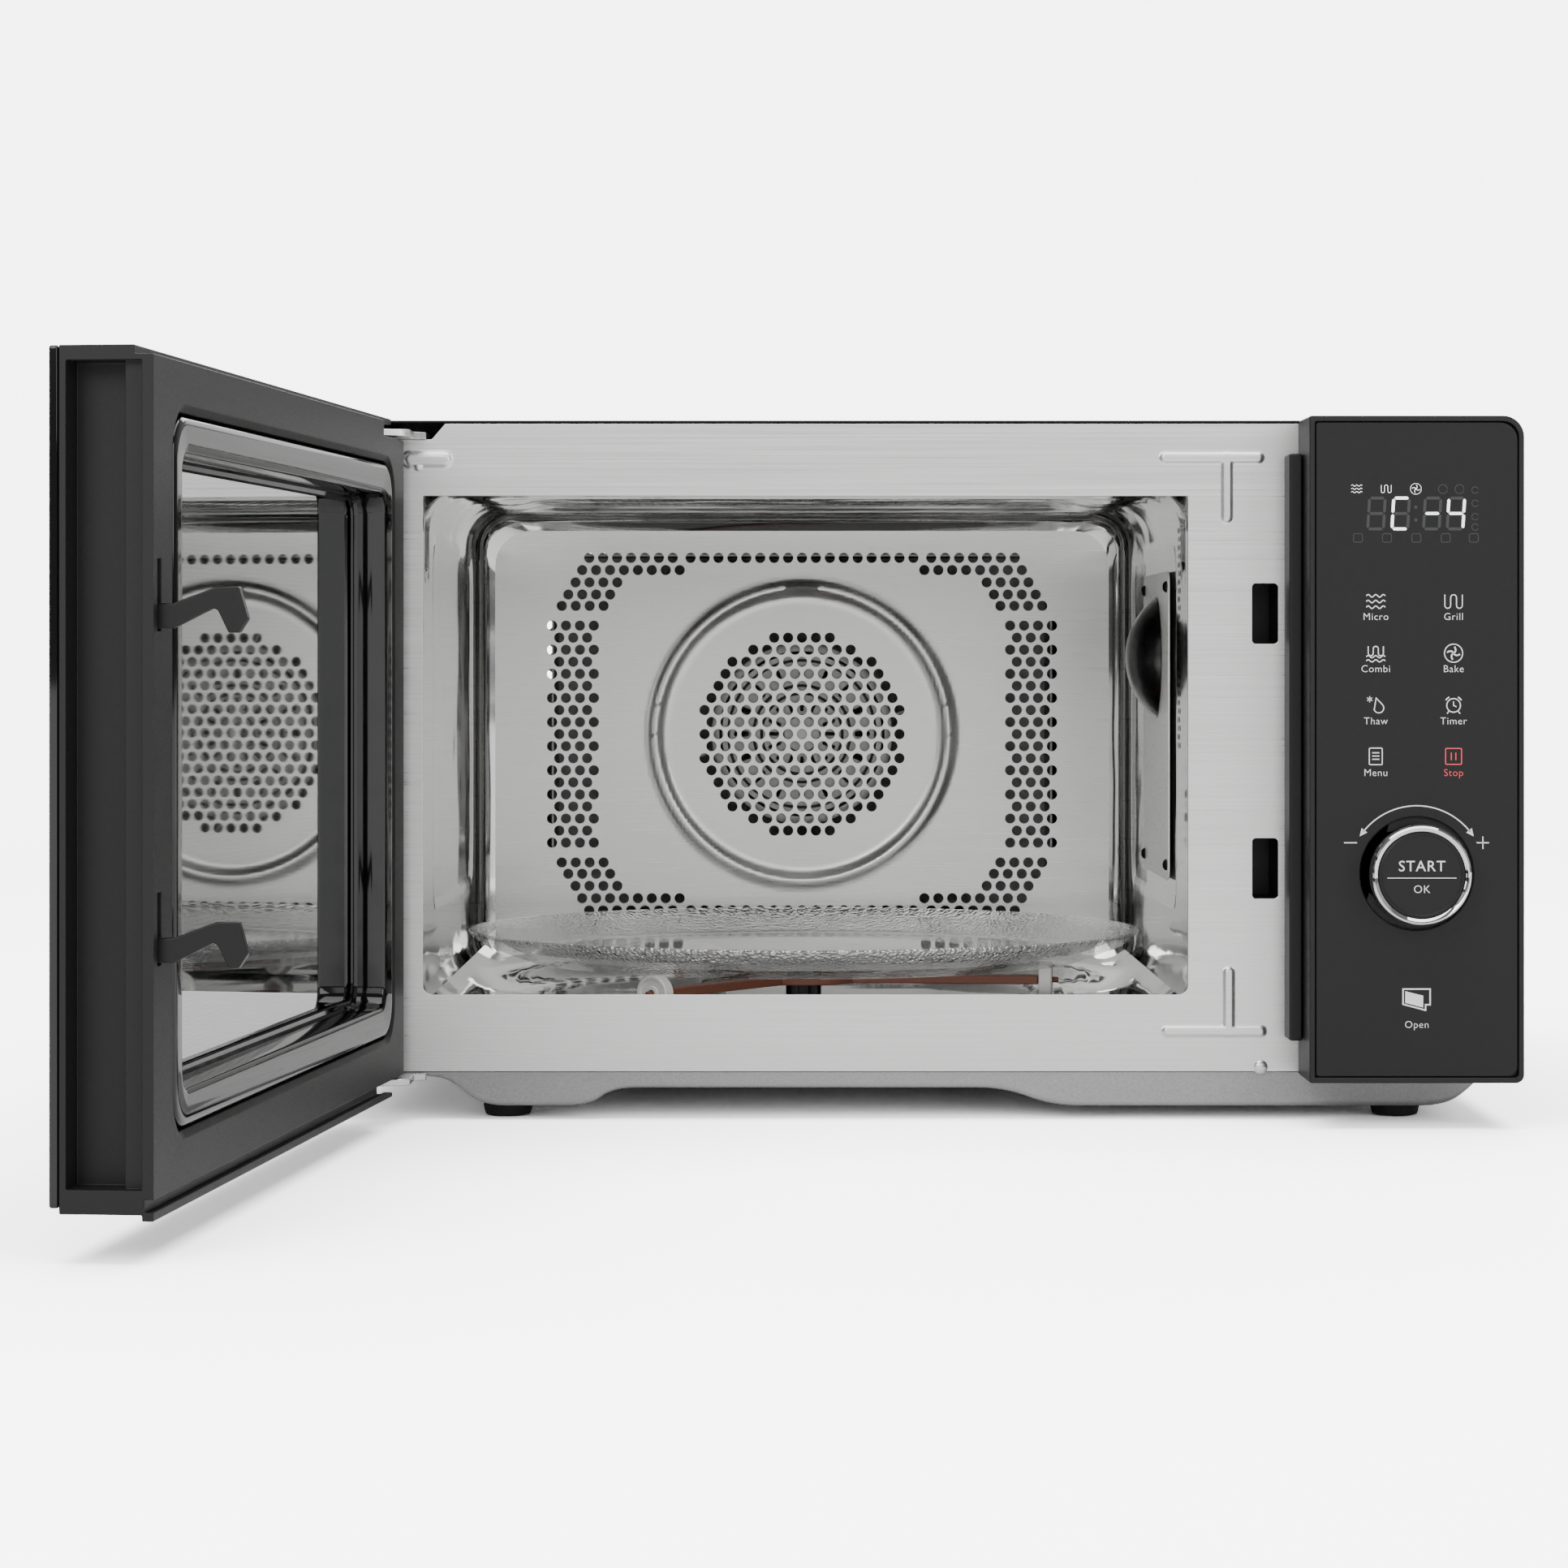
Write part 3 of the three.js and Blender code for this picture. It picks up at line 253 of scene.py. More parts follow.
def make_rubber():
    # Moulded black rubber.
    material, tree, shader = new_material("black_rubber", base_color="#141414", roughness=0.75)
    grain(tree, shader, 0.8, 0.02, ("#111111", "#191919"), (0.68, 0.85))
    return material


def make_chrome():
    # Chrome-plated ABS ring: a clean mirror with a trace of grain.
    material, tree, shader = new_material("chrome_plate", base_color="#e2e2e2", metallic=1.0,
                                          roughness=0.04)
    grain(tree, shader, 5.0, 0.0, ("#dedede", "#e6e6e6"), (0.03, 0.06))
    return material


STIPPLE_FROM = (0.129, 0.132)  # radii, in metres, between which the tray's stippled band sets in
STIPPLE_SIZE = 0.0018  # one dimple of that band, in metres


def make_tray_glass():
    # Toughened soda-lime glass, pressed: clear in the middle, with a stippled band under the rim.
    material, tree, shader = new_material("pressed_glass", base_color="#f2f2f2", roughness=0.04,
                                          metallic=1.0)
    grain(tree, shader, 9.0, 0.0, ("#efefef", "#f6f6f6"))
    place = add_node(tree, "ShaderNodeTexCoord").outputs["Object"]
    from_middle = add_node(tree, "ShaderNodeVectorMath", {0: place}, {1: (CENTRE[0], CENTRE[1], 0.0)},
                           operation="SUBTRACT")
    flat = add_node(tree, "ShaderNodeVectorMath", {0: from_middle.outputs[0]}, {1: (1, 1, 0)},
                    operation="MULTIPLY")
    radius = add_node(tree, "ShaderNodeVectorMath", {0: flat.outputs[0]},
                      operation="LENGTH").outputs["Value"]
    band = add_node(tree, "ShaderNodeMapRange", {"Value": radius},
                    {"From Min": STIPPLE_FROM[0], "From Max": STIPPLE_FROM[1], "To Min": 0.0,
                     "To Max": 1.0}).outputs["Result"]
    dimple = add_node(tree, "ShaderNodeTexVoronoi", {"Vector": placed(tree, (1 / STIPPLE_SIZE,) * 3)},
                      {"Scale": 1.0})
    height = add_node(tree, "ShaderNodeMath", {0: dimple.outputs["Distance"], 1: band},
                      operation="MULTIPLY")
    lift = add_node(tree, "ShaderNodeBump", {"Height": height.outputs[0]},
                    {"Strength": 1.0, "Distance": 1.0 * MM})
    tree.links.new(lift.outputs["Normal"], shader.inputs["Normal"])
    # Thin clear glass lets straight light through; the rest is its sheen, stronger at a glancing angle.
    sheen = add_node(tree, "ShaderNodeFresnel", {"Normal": lift.outputs["Normal"]}, {"IOR": 1.5})
    milk = add_node(tree, "ShaderNodeMapRange", {"Value": band}, {"To Min": 0.02, "To Max": 0.34})
    sheen = add_node(tree, "ShaderNodeMath", {0: sheen.outputs[0], 1: milk.outputs[0]}, operation="ADD",
                     use_clamp=True)
    # Only the side facing the air mirrors; light already in the glass goes straight out.
    inward = add_node(tree, "ShaderNodeNewGeometry").outputs["Backfacing"]
    outward = add_node(tree, "ShaderNodeMath", {1: inward}, {0: 1.0}, operation="SUBTRACT")
    share = add_node(tree, "ShaderNodeMath", {0: sheen.outputs[0], 1: outward.outputs[0]},
                     operation="MULTIPLY")
    clear = add_node(tree, "ShaderNodeBsdfTransparent", None, {"Color": linear("#f7f7f7")})
    mix = add_node(tree, "ShaderNodeMixShader",
                   {0: share.outputs[0], 1: clear.outputs[0], 2: shader.outputs[0]})
    tree.links.new(mix.outputs[0], tree.nodes["Material Output"].inputs["Surface"])
    return material


def make_simple(name, code, roughness, metallic, grit, bump, spread):
    """A plain finish with a fine grain of its own."""
    material, tree, shader = new_material(name, base_color=code, roughness=roughness, metallic=metallic)
    grain(tree, shader, grit, bump, spread, (roughness * 0.88, roughness * 1.15))
    return material


MAKERS = {
    "brushed_stainless": make_brushed_stainless,
    "polished_stainless": make_polished_stainless,
    "satin_stainless": make_satin_stainless,
    "black_painted_steel": make_black_lacquered_steel,
    "galvanised_steel": make_galvanised_steel,
    "zinc_plated_steel": make_zinc_plated_steel,
    "charcoal_plastic": make_charcoal_abs,
    "black_plastic": make_black_abs,
    "gloss_black_plastic": make_gloss_black,
    "panel_lacquer": make_panel_lacquer,
    "black_rubber": make_rubber,
    "chrome_plate": make_chrome,
    "clear_glass": make_tray_glass,
    # Phlogopite mica board: matt, faintly flaky.
    "mica_sheet": lambda: make_simple("mica_board", "#efeeea", 0.3, 0.0, 2.2, 0.02,
                                      ("#e6e5e1", "#f7f6f3")),
    # Black-annealed stainless dome: dark mirror.
    "dark_polished_steel": lambda: make_simple("blued_steel", "#6a6a6b", 0.2, 1.0, 4.0, 0.0,
                                               ("#636364", "#727273")),
    # Oxidised sheath of a tubular heater.
    "black_sheath_steel": lambda: make_simple("oxidised_sheath", "#4c4540", 0.5, 0.6, 1.2,
                                              0.02, ("#403a36", "#5c534d")),
    # Borosilicate lamp glass with a warm tint.
    "lamp_glass": lambda: make_simple("lamp_glass", "#f1ece0", 0.2, 0.0, 3.0, 0.0,
                                      ("#ece6d8", "#f6f2e8")),
    # Moulded white nylon.
    "white_nylon": lambda: make_simple("white_nylon", "#e9e8e4", 0.4, 0.0, 1.0, 0.008,
                                       ("#e3e2dd", "#efeeeb")),
    # Glass-filled brown PPS.
    "brown_plastic": lambda: make_simple("brown_pps", "#7a4c3b", 0.48, 0.0, 0.7, 0.01,
                                         ("#6e4232", "#855543")),
    # Painted motor can.
    "motor_steel": lambda: make_simple("motor_can_steel", "#8f9194", 0.4, 0.7, 0.9, 0.006,
                                       ("#84868a", "#9a9c9e")),
    # Die-cut aluminium.
    "fin_aluminium": lambda: make_simple("mill_aluminium", "#9c9c9b", 0.42, 1.0, 0.6, 0.003,
                                         ("#919190", "#a7a7a6")),
    # Varnished laminations.
    "steel_laminations": lambda: make_simple("varnished_laminations", "#47484a", 0.5, 0.5,
                                             0.5, 0.02, ("#3d3e40", "#525356")),
    # Bright spring wire.
    "spring_steel": lambda: make_simple("spring_wire", "#a9abad", 0.3, 1.0, 0.5, 0.0,
                                        ("#9fa1a3", "#b4b6b8")),
    # Green solder resist on glass-epoxy board.
    "circuit_board": lambda: make_simple("solder_resist", "#1f5a35", 0.35, 0.0, 1.6, 0.006,
                                         ("#1a4f2e", "#25663d")),
    # White ink fired on the panel.
    "white_ink": lambda: make_simple("white_ink", "#e4e4e3", 0.5, 0.0, 0.4, 0.0, ("#dededd", "#eaeae9")),
    # Red ink of the stop key.
    "red_ink": lambda: make_simple("red_ink", "#e4454e", 0.5, 0.0, 0.4, 0.0, ("#dc3f48", "#ea4d56")),
}
_made = {}


def material_for(name):
    """The material of that finish, made once."""
    if name not in _made:
        _made[name] = MAKERS[name]()
    return _made[name]


# ------------------------------------------------------------------ mesh helpers
def link(name, mesh):
    """Puts a mesh in the scene as an object at the origin."""
    piece = bpy.data.objects.new(name, mesh)
    bpy.context.scene.collection.objects.link(piece)
    return piece


def mark_smooth(bm, limit=32.0):
    """Shades every face smooth and keeps the edges sharper than the limit crisp."""
    bm.normal_update()
    for face in bm.faces:
        face.smooth = True
    for edge in bm.edges:
        edge.smooth = len(edge.link_faces) == 2 and edge.calc_face_angle(0.0) < math.radians(limit)


def build(name, bm, limit=32.0, outward=True):
    """Turns a bmesh into an object, its faces outward."""
    if outward:
        bmesh.ops.recalc_face_normals(bm, faces=bm.faces[:])
    mark_smooth(bm, limit)
    mesh = bpy.data.meshes.new(name)
    bm.to_mesh(mesh)
    bm.free()
    return link(name, mesh)


def settle(piece, body, slot, finish, *replaced):
    """Gives a piece its finish and its place in the frame: the body it rides on and what it stands for."""
    piece.data.materials.clear()
    piece.data.materials.append(material_for(finish))
    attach(piece, body)
    if replaced:
        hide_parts(*replaced)
    return piece


def plain(piece):
    """Replaces the piece's mesh by what its modifiers make of it."""
    bpy.context.view_layer.update()
    made = bpy.data.meshes.new_from_object(piece.evaluated_get(bpy.context.evaluated_depsgraph_get()))
    piece.modifiers.clear()
    piece.data = made
    made.name = piece.name
    return piece


def drop(*things):
    for thing in things:
        bpy.data.objects.remove(thing)


def rounded(x0, x1, y0, y1, radius, steps=6):
    """A rectangle with round corners, anticlockwise; radius is one number or four from lower left."""
    radii = radius if isinstance(radius, (tuple, list)) else (radius,) * 4
    corners = ((x0, y0, 180, 1, 1), (x1, y0, 270, -1, 1), (x1, y1, 0, -1, -1), (x0, y1, 90, 1, -1))
    points = []
    for (cx, cy, start, sx, sy), r in zip(corners, radii):
        for step in range(steps + 1):
            angle = math.radians(start + 90 * step / steps)
            points.append((cx + sx * r + r * math.cos(angle), cy + sy * r + r * math.sin(angle)))
    return points


def loft(bm, rings, caps=True, around=True, along=False):
    """Joins rings of points with quads; caps close the two ends, along joins the last ring to the first."""
    rows = [[bm.verts.new(point) for point in ring] for ring in rings]
    count = len(rows[0])
    pairs = list(zip(rows, rows[1:])) + ([(rows[-1], rows[0])] if along else [])
    for low, high in pairs:
        for i in range(count if around else count - 1):
            j = (i + 1) % count
            bm.faces.new((low[i], low[j], high[j], high[i]))
    if caps and not along:
        bm.faces.new(list(reversed(rows[0])))
        bm.faces.new(rows[-1])
    return rows


def prism(bm, outline, low, high, place):
    """An outline (a, b) pushed from low to high along the third direction; place makes the points."""
    loft(bm, [[place(a, b, low) for a, b in outline], [place(a, b, high) for a, b in outline]])


def lathe(bm, profile, place, steps=64):
    """A closed profile of (radius, height) turned round its axis; place maps crosswise mm and height."""
    columns = []
    for step in range(steps):
        angle = 2 * math.pi * step / steps
        columns.append([bm.verts.new(place(r * math.cos(angle), r * math.sin(angle), h)) for r,
                        h in profile])
    for first, second in zip(columns, columns[1:] + columns[:1]):
        for i in range(len(profile)):
            j = (i + 1) % len(profile)
            if profile[i][0] < 1e-6 and profile[j][0] < 1e-6:
                continue
            bm.faces.new((first[i], second[i], second[j], first[j]))
    bmesh.ops.remove_doubles(bm, verts=bm.verts[:], dist=1e-7)


def tube(bm, path, radius, sides=8, closed=False):
    """A round wire along a path of points."""
    count = len(path)
    rings = []
    side = None
    for i, point in enumerate(path):
        before = path[i - 1] if (i or closed) else point
        after = path[(i + 1) % count] if (i < count - 1 or closed) else point
        ahead = (after - before).normalized()
        if side is None:
            side = ahead.orthogonal().normalized()
        side = (side - ahead * side.dot(ahead)).normalized()
        up = ahead.cross(side)
        turns = [2 * math.pi * k / sides for k in range(sides)]
        rings.append([point + (side * math.cos(turn) + up * math.sin(turn)) * radius for turn in turns])
    loft(bm, rings, caps=not closed, along=closed)


def level(piece):
    """Weighs the normals by area, so that large flat faces look flat beside their rounded edges."""
    weigh = piece.modifiers.new("weigh", "WEIGHTED_NORMAL")
    weigh.keep_sharp = True
    return plain(piece)


def edged(piece, width, segments=2, limit=30.0):
    """Rounds the piece's sharp edges, width in mm."""
    bevel = piece.modifiers.new("edges", "BEVEL")
    bevel.width = width * MM
    bevel.segments = segments
    bevel.limit_method = "ANGLE"
    bevel.angle_limit = math.radians(limit)
    bevel.use_clamp_overlap = False
    bevel.miter_outer = "MITER_ARC"
    return level(plain(piece))


def copy_of(node, name):
    """A merged copy of a frame node, its coplanar triangles joined into whole faces."""
    bm = bmesh.new()
    bm.from_mesh(frame["nodes"][node].data)
    bmesh.ops.remove_doubles(bm, verts=bm.verts[:], dist=2e-6)
    bmesh.ops.dissolve_limit(bm, angle_limit=math.radians(0.4), verts=bm.verts[:], edges=bm.edges[:])
    return build(name, bm, 32.0, outward=False)


def cut(piece, *cutters):
    """Takes closed cutters away from a closed piece."""
    for cutter in cutters:
        step = piece.modifiers.new("cut", "BOOLEAN")
        step.operation = "DIFFERENCE"
        step.solver = "MANIFOLD"
        step.object = cutter
    plain(piece)
    drop(*cutters)
    return piece


def resmooth(piece, limit=32.0):
    """Marks a finished piece's sharp edges again."""
    bm = bmesh.new()
    bm.from_mesh(piece.data)
    mark_smooth(bm, limit)
    bm.to_mesh(piece.data)
    bm.free()
    return level(piece)


def joined(name, pieces):
    """One object from several."""
    bm = bmesh.new()
    for piece in pieces:
        bm.from_mesh(piece.data)
    mesh = bpy.data.meshes.new(name)
    bm.to_mesh(mesh)
    bm.free()
    drop(*pieces)
    return link(name, mesh)


def points_object(name, places):
    """An object of loose points that a node tree puts copies on."""
    mesh = bpy.data.meshes.new(name)
    mesh.from_pydata([tuple(p) for p in places], [], [])
    return link(name, mesh)


# ------------------------------------------------------------------ geometry nodes
def tree_with_inputs(name, inputs):
    """An empty geometry tree with named inputs; returns it with its input node."""
    tree = bpy.data.node_groups.new(name, "GeometryNodeTree")
    tree.interface.new_socket("Geometry", in_out="OUTPUT", socket_type="NodeSocketGeometry")
    tree.interface.new_socket("Geometry", in_out="INPUT", socket_type="NodeSocketGeometry")
    for label, kind in inputs:
        tree.interface.new_socket(label, in_out="INPUT", socket_type=kind)
    return tree, add_node(tree, "NodeGroupInput")


def copies_on_points(tree, inlet, spin=False):
    """Copies of the tree's Pattern object on the points of its Places object."""
    places = add_node(tree, "GeometryNodeObjectInfo", {"Object": inlet.outputs["Places"]})
    pattern = add_node(tree, "GeometryNodeObjectInfo", {"Object": inlet.outputs["Pattern"]})
    links = {"Points": places.outputs["Geometry"], "Instance": pattern.outputs["Geometry"]}
    if spin:
        turn = add_node(tree, "FunctionNodeRandomValue", {"Seed": inlet.outputs["Seed"]},
                        data_type="FLOAT_VECTOR")
        turn.inputs[0].default_value = (0, 0, 0)
        tree.links.new(inlet.outputs["Largest turn"], turn.inputs[1])
        links["Rotation"] = turn.outputs["Value"]
    spread = add_node(tree, "GeometryNodeInstanceOnPoints", links)
    return add_node(tree, "GeometryNodeRealizeInstances", {"Geometry": spread.outputs["Instances"]})


def pierced_tree():
    """Cuts a copy of a pattern out of a sheet at each place."""
    tree, inlet = tree_with_inputs("Pierced sheet", (
        ("Places", "NodeSocketObject"), ("Pattern", "NodeSocketObject"),
        ("Finish", "NodeSocketMaterial")))
    solid = copies_on_points(tree, inlet)
    hole = add_node(tree, "GeometryNodeMeshBoolean", {0: inlet.outputs["Geometry"], 1: solid.outputs[0]},
                    operation="DIFFERENCE", solver="MANIFOLD")
    whole = add_node(tree, "GeometryNodeRealizeInstances", {"Geometry": hole.outputs["Mesh"]})
    dressed = add_node(tree, "GeometryNodeSetMaterial",
                       {"Geometry": whole.outputs[0], "Material": inlet.outputs["Finish"]})
    add_node(tree, "NodeGroupOutput", {"Geometry": dressed.outputs["Geometry"]})
    return tree


def fixings_tree():
    """Puts a copy of a pattern at each place, each turned a little differently."""
    tree, inlet = tree_with_inputs("Fixings", (
        ("Places", "NodeSocketObject"), ("Pattern", "NodeSocketObject"), ("Finish", "NodeSocketMaterial"),
        ("Seed", "NodeSocketInt"), ("Largest turn", "NodeSocketVector")))
    whole = copies_on_points(tree, inlet, spin=True)
    dressed = add_node(tree, "GeometryNodeSetMaterial",
                       {"Geometry": whole.outputs[0], "Material": inlet.outputs["Finish"]})
    add_node(tree, "NodeGroupOutput", {"Geometry": dressed.outputs["Geometry"]})
    return tree


_trees = {}


def run_tree(piece, maker, places, pattern, finish, **numbers):
    """Runs a tree on the piece and keeps the result as its mesh; the points and the pattern are used up."""
    if maker not in _trees:
        _trees[maker] = maker()
    step = piece.modifiers.new("tree", "NODES")
    step.node_group = _trees[maker]
    wanted = {"Places": places, "Pattern": pattern, "Finish": material_for(finish), **numbers}
    for item in _trees[maker].interface.items_tree:
        if item.in_out == "INPUT" and item.name in wanted:
            step[item.identifier] = wanted[item.name]
    plain(piece)
    drop(places, pattern)
    return piece


def pierce(piece, centres, outline, depth, place, finish):
    """Cuts the same outline through a sheet at every centre; place turns (a, b, depth) into a direction."""
    bm = bmesh.new()
    origin = place(0, 0, 0)
    prism(bm, outline, -depth / 2, depth / 2, lambda a, b, c: place(a, b, c) - origin)
    pattern = build("pattern", bm)
    return run_tree(piece, pierced_tree, points_object("places", centres), pattern, finish)


def circle(radius, sides=12):
    return [(radius * math.cos(2 * math.pi * k / sides), radius * math.sin(2 * math.pi * k / sides))
            for k in range(sides)]


def screws(name, centres, place, body, slot, radius=3.6, finish="zinc_plated_steel"):
    """Pan-head cross-recess screws at the given centres; place turns (a, b, out) into a direction."""
    bm = bmesh.new()
    origin = place(0, 0, 0)
    profile = [(0.0, 1.9), (radius * 0.45, 1.8), (radius * 0.8, 1.3), (radius, 0.5),
               (radius, -0.4), (0.0, -0.4)]
    lathe(bm, profile, lambda a, b, c: place(a, b, c) - origin, 20)
    head = build("head", bm)
    slots = []
    for along, across in ((radius * 0.62, radius * 0.14), (radius * 0.14, radius * 0.62)):
        bm = bmesh.new()
        prism(bm, [(-along, -across), (along, -across), (along, across), (-along, across)], 0.9, 3.0,
              lambda a, b, c: place(a, b, c) - origin)
        slots.append(build("recess", bm))
    cut(head, *slots)
    resmooth(head)
    axis = (place(0, 0, 1) - origin).normalized()
    bm = bmesh.new()
    holder = build(name, bm)
    run_tree(holder, fixings_tree, points_object("places", centres), head, finish,
             **{"Seed": 7, "Largest turn": tuple(axis * 1.5)})
    return settle(holder, body, slot, finish)


# ------------------------------------------------------------------ cabinet
def out_right(a, b, c):
    return at(c, a, b)


def room_of(node):
    """A node's box as three (from, to) pairs in the cabinet's own mm."""
    low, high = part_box(node)
    return ((low[0] - CENTRE[0]) / MM, (high[0] - CENTRE[0]) / MM), (
        (low[1] - FACE_Y) / MM, (high[1] - FACE_Y) / MM), (low[2] / MM, high[2] / MM)


def out_back(a, b, c):
    return at(a, c, b)


def out_up(a, b, c):
    return at(a, b, c)


def slot_outline(length, height):
    return rounded(-length / 2, length / 2, -height / 2, height / 2, height * 0.49, 4)


def make_cabinet_wrap(sizes):
    """The black steel wrap: three walls, vents in both sides."""
    wrap = copy_of("outer_cabinet", "cabinet_wrap")
    low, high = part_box("outer_cabinet")
    wrap = edged(wrap, 0.8, 3)
    length, height = sizes.vent_length / MM, sizes.vent_height / MM
    for side, first, count, rows in ((high[0], 232.0, 7, 9), (low[0], 262.0, 5, 6)):
        centres = []
        for column in range(count):
            for row in range(rows):
                centres.append(at(0, first + column * (length + 4.0), 196.0 + row * 2.6 * height) +
                               Vector((side - CENTRE[0], 0, 0)))
        pierce(wrap, centres, slot_outline(length, height), 8.0, out_right, "black_painted_steel")
    resmooth(wrap)
    settle(wrap, "cabinet", "black_painted_steel", "black_painted_steel", "outer_cabinet")


def make_rear_panel(sizes):
    """The galvanised rear wall with a pressed rim, exhaust holes, air intake and screws."""
    (x0, x1), (y0, y1), (z0, z1) = room_of("rear_panel")
    gland_low, gland_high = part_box("cord_gland")
    gland_x = ((gland_low[0] + gland_high[0]) / 2 - CENTRE[0]) / MM
    gland_z = (gland_low[2] + gland_high[2]) / 2 / MM
    bm = bmesh.new()
    rings = []
    for inset, depth in ((0.0, y0), (0.0, y1 - 0.3), (0.3, y1), (9.0, y1), (12.0, y1 - 2.6),
                         (13.5, y1 - 3.0)):
        rings.append([at(a, depth, b) for a, b in
                      rounded(x0 + inset, x1 - inset, z0 + inset, z1 - inset, 2.0 + inset * 0.35, 4)])
    flat = y1 - 3.0
    back = [[at(a, depth, b) for a, b in
             rounded(x0 + inset, x1 - inset, z0 + inset, z1 - inset, 2.0 + inset * 0.35, 4)]
            for inset, depth in ((13.0, flat - 1.0), (11.4, flat - 0.8), (8.6, y0), (0.0, y0))]
    rows = loft(bm, rings[1:], caps=False)
    under = loft(bm, back, caps=False)
    count = len(rows[0])
    bm.faces.new(rows[-1])
    bm.faces.new(list(reversed(under[0])))
    for i in range(count):
        j = (i + 1) % count
        bm.faces.new((rows[0][i], under[-1][i], under[-1][j], rows[0][j]))
    panel = build("rear_wall", bm)
    hole = sizes.hole_diameter / MM
    pitch = hole * 1.45
    exhaust = [(x, z) for x in range(0, 9) for z in range(0, 12)]
    centres = [at(-150 + (i + 0.5 * (j % 2)) * pitch, flat, 190 + j * pitch * 0.866) for i, j in exhaust]
    fan_low, fan_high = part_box("cooling_fan_shroud")
    fan_x = ((fan_low[0] + fan_high[0]) / 2 - CENTRE[0]) / MM
    fan_z = (fan_low[2] + fan_high[2]) / 2 / MM
    for i in range(-6, 7):
        for j in range(-6, 7):
            x = (i + 0.5 * (j % 2)) * pitch
            z = j * pitch * 0.866
            if math.hypot(x, z) < 36:
                centres.append(at(fan_x + x, flat, fan_z + z))
    pierce(panel, centres, circle(hole / 2, 12), 12.0, out_back, "galvanised_steel")
    bm = bmesh.new()
    prism(bm, circle(9.4, 24), y0 - 5, y1 + 5, lambda a, b, c: at(gland_x + a, c, gland_z + b))
    cut(panel, build("gland_hole", bm))
    resmooth(panel)
    settle(panel, "cabinet", "galvanised_steel", "galvanised_steel", "rear_panel")
    rim = 5.0
    middle = (x0 + x1) / 2
    heads = [(x0 + rim, z0 + 30), (x0 + rim, z1 - 40), (x1 - rim, z0 + 30), (x1 - rim, z1 - 40),
             (x0 + 60, z1 - rim), (middle, z1 - rim), (x1 - 60, z1 - rim), (middle, z0 + rim)]
    depth = (CAD_BOX[1][1] - FACE_Y) / MM - 2.2
    screws("rear_screws", [at(x, min(y1, depth), z) for x, z in heads], out_back, "cabinet",
           "zinc_plated_steel")


def fillet(points, radius, steps=6):
    """The same line of points with its inner corners rounded."""
    line = [points[0]]
    for before, corner, after in zip(points, points[1:], points[2:]):
        ends = []
        for other in (before, after):
            gap = Vector(other) - Vector(corner)
            ends.append(Vector(corner) + gap.normalized() * min(radius, gap.length * 0.49))
        for k in range(steps + 1):
            t = k / steps
            bend = Vector(corner) * 2 * t * (1 - t)
            line.append(tuple(ends[0] * (1 - t) ** 2 + bend + ends[1] * t * t))
    return line + [points[-1]]


def pressed_tray(radius):
    """The base tray with smoothly drawn legs and a rolled front edge."""
    mesh = frame["nodes"]["base_pan"].data
    low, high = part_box("base_pan")
    lowest = {}
    for vertex in mesh.vertices:
        if vertex.co.y < low[1] + 0.1 * MM:
            x, z = round((vertex.co.x - CENTRE[0]) / MM, 2), vertex.co.z / MM
            lowest[x] = min(z, lowest.get(x, z))
    under = fillet(sorted(lowest.items()), radius)
    top = high[2] / MM
    front, back = (low[1] - FACE_Y) / MM, (high[1] - FACE_Y) / MM
    bm = bmesh.new()
    rings = []
    for lift, y in ((2.6, front), (1.2, front + 0.4), (0.4, front + 1.3), (0.0, front + 3.0),
                    (0.0, back)):
        outline = [(x, min(z + lift, top - 0.2)) for x, z in under]
        rings.append([at(x, y, z) for x, z in outline + [(under[-1][0], top), (under[0][0], top)]])
    loft(bm, rings)
    return build("base_tray", bm, 40.0)


def make_base(sizes):
    """The pressed base tray, its rubber feet and the cord's gland."""
    pan = pressed_tray(sizes.tray_fillet / MM)
    settle(pan, "cabinet", "galvanised_steel", "galvanised_steel", "base_pan")
    for corner in ("front_left", "front_right", "rear_left", "rear_right"):
        low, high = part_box(f"foot_{corner}")
        middle = (Vector(low) + Vector(high)) / 2
        radius = (high[0] - low[0]) / 2 / MM
        height = (high[2] - low[2]) / MM
        bm = bmesh.new()
        profile = [(0.0, 0.0), (radius - 2.2, 0.0), (radius - 1.0, 0.4), (radius - 0.6, 1.4),
                   (radius, height - 1.2),
                   (radius, height), (0.0, height)]
        lathe(bm, profile, lambda a, b,
              c: Vector((middle[0] + a * MM, middle[1] + b * MM, low[2] + c * MM)), 40)
        foot = build(f"rubber_foot_{corner}", bm)
        settle(foot, "cabinet", "black_rubber", "black_rubber", f"foot_{corner}")
    gland = edged(copy_of("cord_gland", "cord_inlet"), 0.4, 2)
    settle(gland, "cabinet", "black_rubber", "black_rubber", "cord_gland")


